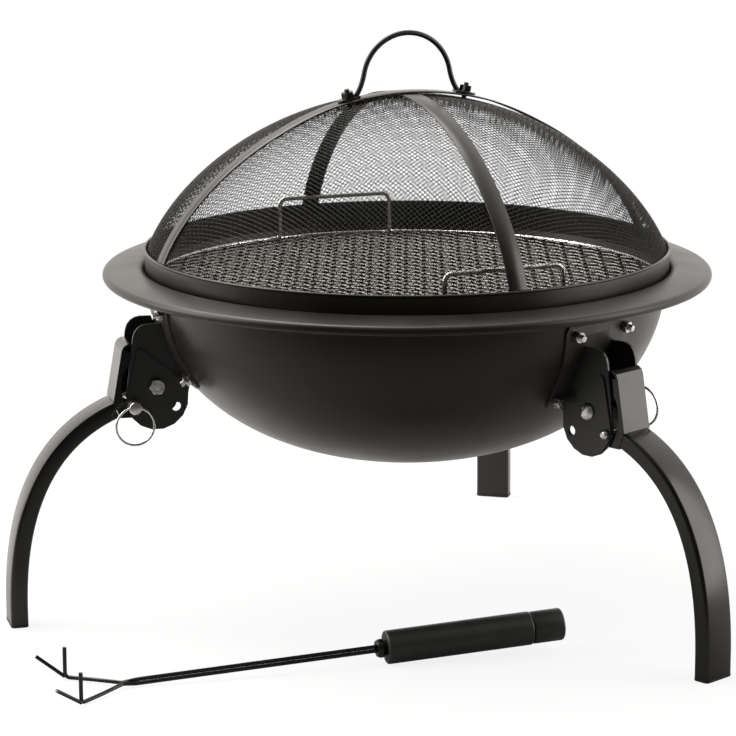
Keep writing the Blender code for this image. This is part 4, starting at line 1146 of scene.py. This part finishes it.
mount_places = [on_wall(drop, side) for drop in MOUNT_DROPS for side in (-1, 1)]
for number, station in stations.items():
    for index, place in enumerate(mount_places, 1):
        node = "leg_%d_mount_bolt_%d" % (number, index)
        piece("bracket_bolt_%d_%d" % (number, index), mount_bolt, ZINC, "fire_bowl", [node],
              station @ place)
print("bolts on each bracket:", len(mount_places))

# %% [markdown]
# A leg turns on its pivot bolt and is held by a lock pin, which has an eye for its pull ring. The eye
# could be left out at this size, but the ring hangs in it and turns with it. So it is drilled through the
# pin's head by a Boolean, and the ring starts at the eye's middle.

# %% Measures of pivot, pin and ring
EAR_STACK = (0.4 * MM, 2 * MM, 1.6 * MM)
DOUBLER_OUTER = LEG_WIDTH / 2 + sum(EAR_STACK)
PIVOT_HEAD = 7.5 * MM
PIVOT_DOME = 3.6 * MM
PIVOT_RIM = 1 * MM
PIN_SHANK = 4 * MM
PIN_HEAD_RADIUS = 6 * MM
PIN_TIP = 4 * MM
PIN_EYE = 2.6 * MM
DRILL_REACH = 9 * MM
LOCK = (PIVOT[0] + 21.5 * MM, PIVOT[1] - 17 * MM)
PIN_HEAD = 12 * MM
PIN_EYE_OUT = 7.2 * MM
RING_WIRE = 2.2 * MM
RING_RADIUS = 17.5 * MM
RING_STEPS = 64
PIVOT_NUT = 5 * MM
PIN_EYE_AT = DOUBLER_OUTER + GAP + PIN_EYE_OUT
FLIPPED_LEAN = math.pi + math.asin((PIN_EYE_OUT - PIVOT_NUT - RING_WIRE / 2 - GAP) / (1.4 * RING_RADIUS))
SIDEWAYS = Matrix.Rotation(-math.pi / 2, 4, "X")


# %% Pivot bolt
def pivot_bolt():
    """A domed bolt through both ears, with a thin nut flush over its end."""
    face = DOUBLER_OUTER + GAP
    end = face + PIVOT_NUT
    shank = [(PIVOT_HEAD, -face), (PIN_SHANK, -face), (PIN_SHANK, end - 0.9 * MM), (0, end - 0.6 * MM)]
    rod = turned("pivot_rod", domed_head(PIVOT_HEAD, PIVOT_DOME, PIVOT_RIM, -face) + shank, 32)
    nut = hex_nut("pivot_nut", PIVOT_HEAD, PIN_SHANK + BORE_SLACK, face, end)
    mesh = joined("pivot_bolt", [rod, nut])
    mesh.transform(SIDEWAYS)
    return mesh


# %% Lock pin and pull ring
def lock_pin():
    """A pin with a rounded head, drilled through for the ring."""
    face = DOUBLER_OUTER + GAP
    top = face + PIN_HEAD
    tip = -face - PIN_TIP
    wide = PIN_HEAD_RADIUS
    head = [(0, top), (wide - 1.4 * MM, top), (wide - 0.4 * MM, top - 0.4 * MM), (wide, top - 1.2 * MM),
            (wide, face + 0.4 * MM), (wide - 0.4 * MM, face)]
    shank = [(PIN_SHANK, face), (PIN_SHANK, tip + 1.6 * MM), (PIN_SHANK - 0.8 * MM, tip + 0.4 * MM),
             (PIN_SHANK - 1.8 * MM, tip), (0, tip)]
    mesh = turned("lock_pin", head + shank, 36)
    mesh.transform(SIDEWAYS)
    holder = bpy.data.objects.new("lock_pin", mesh)
    drill_mesh = turned("eye", [(0, -DRILL_REACH), (PIN_EYE, -DRILL_REACH), (PIN_EYE, DRILL_REACH),
                                (0, DRILL_REACH)], 24)
    drill_mesh.transform(Matrix.Translation((0, PIN_EYE_AT, 0)) @ Matrix.Rotation(math.pi / 2, 4, "Y"))
    drill = bpy.data.objects.new("eye", drill_mesh)
    bpy.context.scene.collection.objects.link(drill)
    cut = holder.modifiers.new("eye", "BOOLEAN")
    cut.solver = "EXACT"
    cut.object = drill
    made = welded(baked(holder), 30)
    bpy.data.objects.remove(drill, do_unlink=True)
    return made


def pull_ring(lean):
    """A ring of wire that starts in the eye and hangs, or leans by an angle."""
    points = []
    for i in range(RING_STEPS):
        a = math.tau * i / RING_STEPS
        away = RING_RADIUS * (1 - math.cos(a))
        points.append((RING_RADIUS * math.sin(a), away * math.sin(lean), -away * math.cos(lean)))
    return wire("pull_ring", points, RING_WIRE, closed=True)


# %% Put them on the legs
pivot_mesh = pivot_bolt()
pin_mesh = lock_pin()
ring_meshes = {flipped: pull_ring(FLIPPED_LEAN if flipped else 0.0) for flipped in (False, True)}
for number, station in stations.items():
    at_pivot = station @ Matrix.Translation((PIVOT[0], 0, PIVOT[1]))
    at_lock = station @ Matrix.Translation((LOCK[0], 0, LOCK[1]))
    prefix = "leg_%d_" % number
    piece(prefix + "pivot", pivot_mesh, ZINC, "fire_bowl", [prefix + "pivot_bolt"], at_pivot)
    piece(prefix + "pin", pin_mesh, ZINC, "lock_pin_%d" % number, [prefix + "lock_pin"], at_lock)
    piece(prefix + "ring", ring_meshes[number == 2], ZINC, "pull_ring_%d" % number,
          [prefix + "pull_ring"], at_lock @ Matrix.Translation((0, PIN_EYE_AT, 0)))
print("pull ring: %.0f mm across, ears %.0f mm apart over their outsides"
      % ((2 * RING_RADIUS + RING_WIRE) / MM, 2 * DOUBLER_OUTER / MM))

# %% [markdown]
# ## Poker
#
# Two wires lie along each other, laid over by part of a turn, and part into a fork with short upturned
# tips. The other end goes through a ferrule into a moulded grip. The shaft could be one cylinder with a
# painted groove, but two real wires give the seam between them and grow into the fork without a joint.

# %% Where the poker lies
POKER_WIRE = 3.6 * MM
WIRES_TURN = math.radians(50)
TURN_LENGTH = 14 * MM
GRIP_RADIUS = 15 * MM
GRIP_LENGTH = 164 * MM
GRIP_CAP = 29 * MM
FERRULE = 8 * MM
POKER_HEADING = math.radians(16.6)
POKER_REACH = 400 * MM
FORK_REACH = 43 * MM
FORK_HALF = 37 * MM
PRONG_HEIGHT = 27 * MM
SPUR = (23 * MM, 12.2 * MM, 17 * MM)
SPLIT_AT = (-245 * MM, -289 * MM)
STRAND_RADIUS = POKER_WIRE / 2 + 0.12 * MM
SHAFT_STEPS = 60
split = Vector((*SPLIT_AT, GROUND_Z + POKER_WIRE + 0.5 * MM))
lift = GROUND_Z + GRIP_RADIUS + GAP - split.z
slope = math.asin(lift / (POKER_REACH - GRIP_LENGTH))
ahead = Vector((math.cos(POKER_HEADING), math.sin(POKER_HEADING), 0))
run = ahead * math.cos(slope) + Vector((0, 0, math.sin(slope)))
beside = Vector((-ahead.y, ahead.x, 0))
rise = run.cross(beside)
grip_head = split + run * (POKER_REACH - GRIP_LENGTH)


# %% Paired wires and fork
def rounded_path(points, radius, steps=6):
    """A path whose corners are rounded off."""
    path = [points[0]]
    for before, corner, after in zip(points[:-2], points[1:-1], points[2:]):
        reach = min(radius, (before - corner).length / 2, (after - corner).length / 2)
        a = corner + (before - corner).normalized() * reach
        b = corner + (after - corner).normalized() * reach
        for i in range(steps + 1):
            t = i / steps
            path.append((1 - t) ** 2 * a + 2 * t * (1 - t) * corner + t * t * b)
    return path + [points[-1]]


def poker_wire(name, outward, phase):
    """One wire: along the shaft, out into the fork, and up as a prong, with its spur."""
    shaft = POKER_REACH - GRIP_LENGTH
    strand = []
    for i in range(SHAFT_STEPS + 1):
        length = shaft * i / SHAFT_STEPS
        share = min(1, length / TURN_LENGTH)
        angle = phase + WIRES_TURN * share * share * (3 - 2 * share)
        aside = math.cos(angle) * beside + math.sin(angle) * rise
        strand.append(split + run * length + STRAND_RADIUS * aside)
    node = split - ahead * FORK_REACH + outward * FORK_HALF
    node.z = GROUND_Z + POKER_WIRE / 2 + GAP
    lead = node.lerp(strand[0], 0.5) + outward * MM
    fork = rounded_path([node + Vector((0, 0, PRONG_HEIGHT)), node, lead, strand[0]], 5 * MM)
    tip = node - ahead * SPUR[0] + outward * SPUR[1] + Vector((0, 0, SPUR[2]))
    spur = wire("spur", [node + Vector((0, 0, 0.4 * MM)), tip], POKER_WIRE * 0.94)
    return joined(name, [wire(name, fork + strand[1:], POKER_WIRE), spur])


for index, outward in enumerate((beside, -beside)):
    name = "poker_strand_%d" % (index + 1)
    piece(name, poker_wire(name, outward, math.pi * index), LEG_COAT, "poker",
          ["poker_wire_%d" % (index + 1)])

# %% [markdown]
# The grip is a moulded bar with a separate end cap, and a bulged metal ferrule closes its mouth. A scaled
# cylinder could stand for it, but turned outlines give the soft ends that moulded and pressed parts have.

# %% Ferrule and grip
FERRULE_WALL = 3 * MM
FERRULE_BULGE = 1.5 * MM
FERRULE_STEPS = 10
GRIP_SOFTNESS = 2 * MM
grip_place = Matrix.Translation(grip_head) @ run.to_track_quat("Z", "Y").to_matrix().to_4x4()
bore = STRAND_RADIUS + POKER_WIRE / 2 + GAP


def ferrule_mesh():
    """A short bulged ring before the grip."""
    bulge = []
    for i in range(FERRULE_STEPS + 1):
        share = i / FERRULE_STEPS
        bulge.append((bore + FERRULE_WALL + FERRULE_BULGE * math.sin(math.pi * share),
                      -GAP - (FERRULE - GAP) * share))
    return turned("ferrule", bulge + [(bore, -FERRULE), (bore, -GAP), bulge[0]], 40)


def soft_ended(name, ends, radius, soft):
    """A round bar with softened ends."""
    low, high = ends
    foot = arc((radius - soft, low + soft), soft, -math.pi / 2, 0, 6)
    top = arc((radius - soft, high - soft), soft, 0, math.pi / 2, 6)
    return turned(name, [(0, low)] + foot + top + [(0, high)], 64)


cap_at = GRIP_LENGTH - GRIP_CAP
grip_mesh = soft_ended("grip", (0.5 * MM, cap_at), GRIP_RADIUS, GRIP_SOFTNESS)
end_mesh = soft_ended("cap", (cap_at + GAP, GRIP_LENGTH), GRIP_RADIUS - 0.5 * MM, GRIP_SOFTNESS)
piece("poker_collar", ferrule_mesh(), LEG_COAT, "poker", ["poker_ferrule"], grip_place)
piece("poker_handgrip", grip_mesh, GRIP_PLASTIC, "poker", ["poker_grip"], grip_place)
piece("poker_end_cap", end_mesh, GRIP_PLASTIC, "poker", ["poker_grip_cap"], grip_place)
print("poker: %.0f mm from the fork's split to the end cap" % (POKER_REACH / MM))
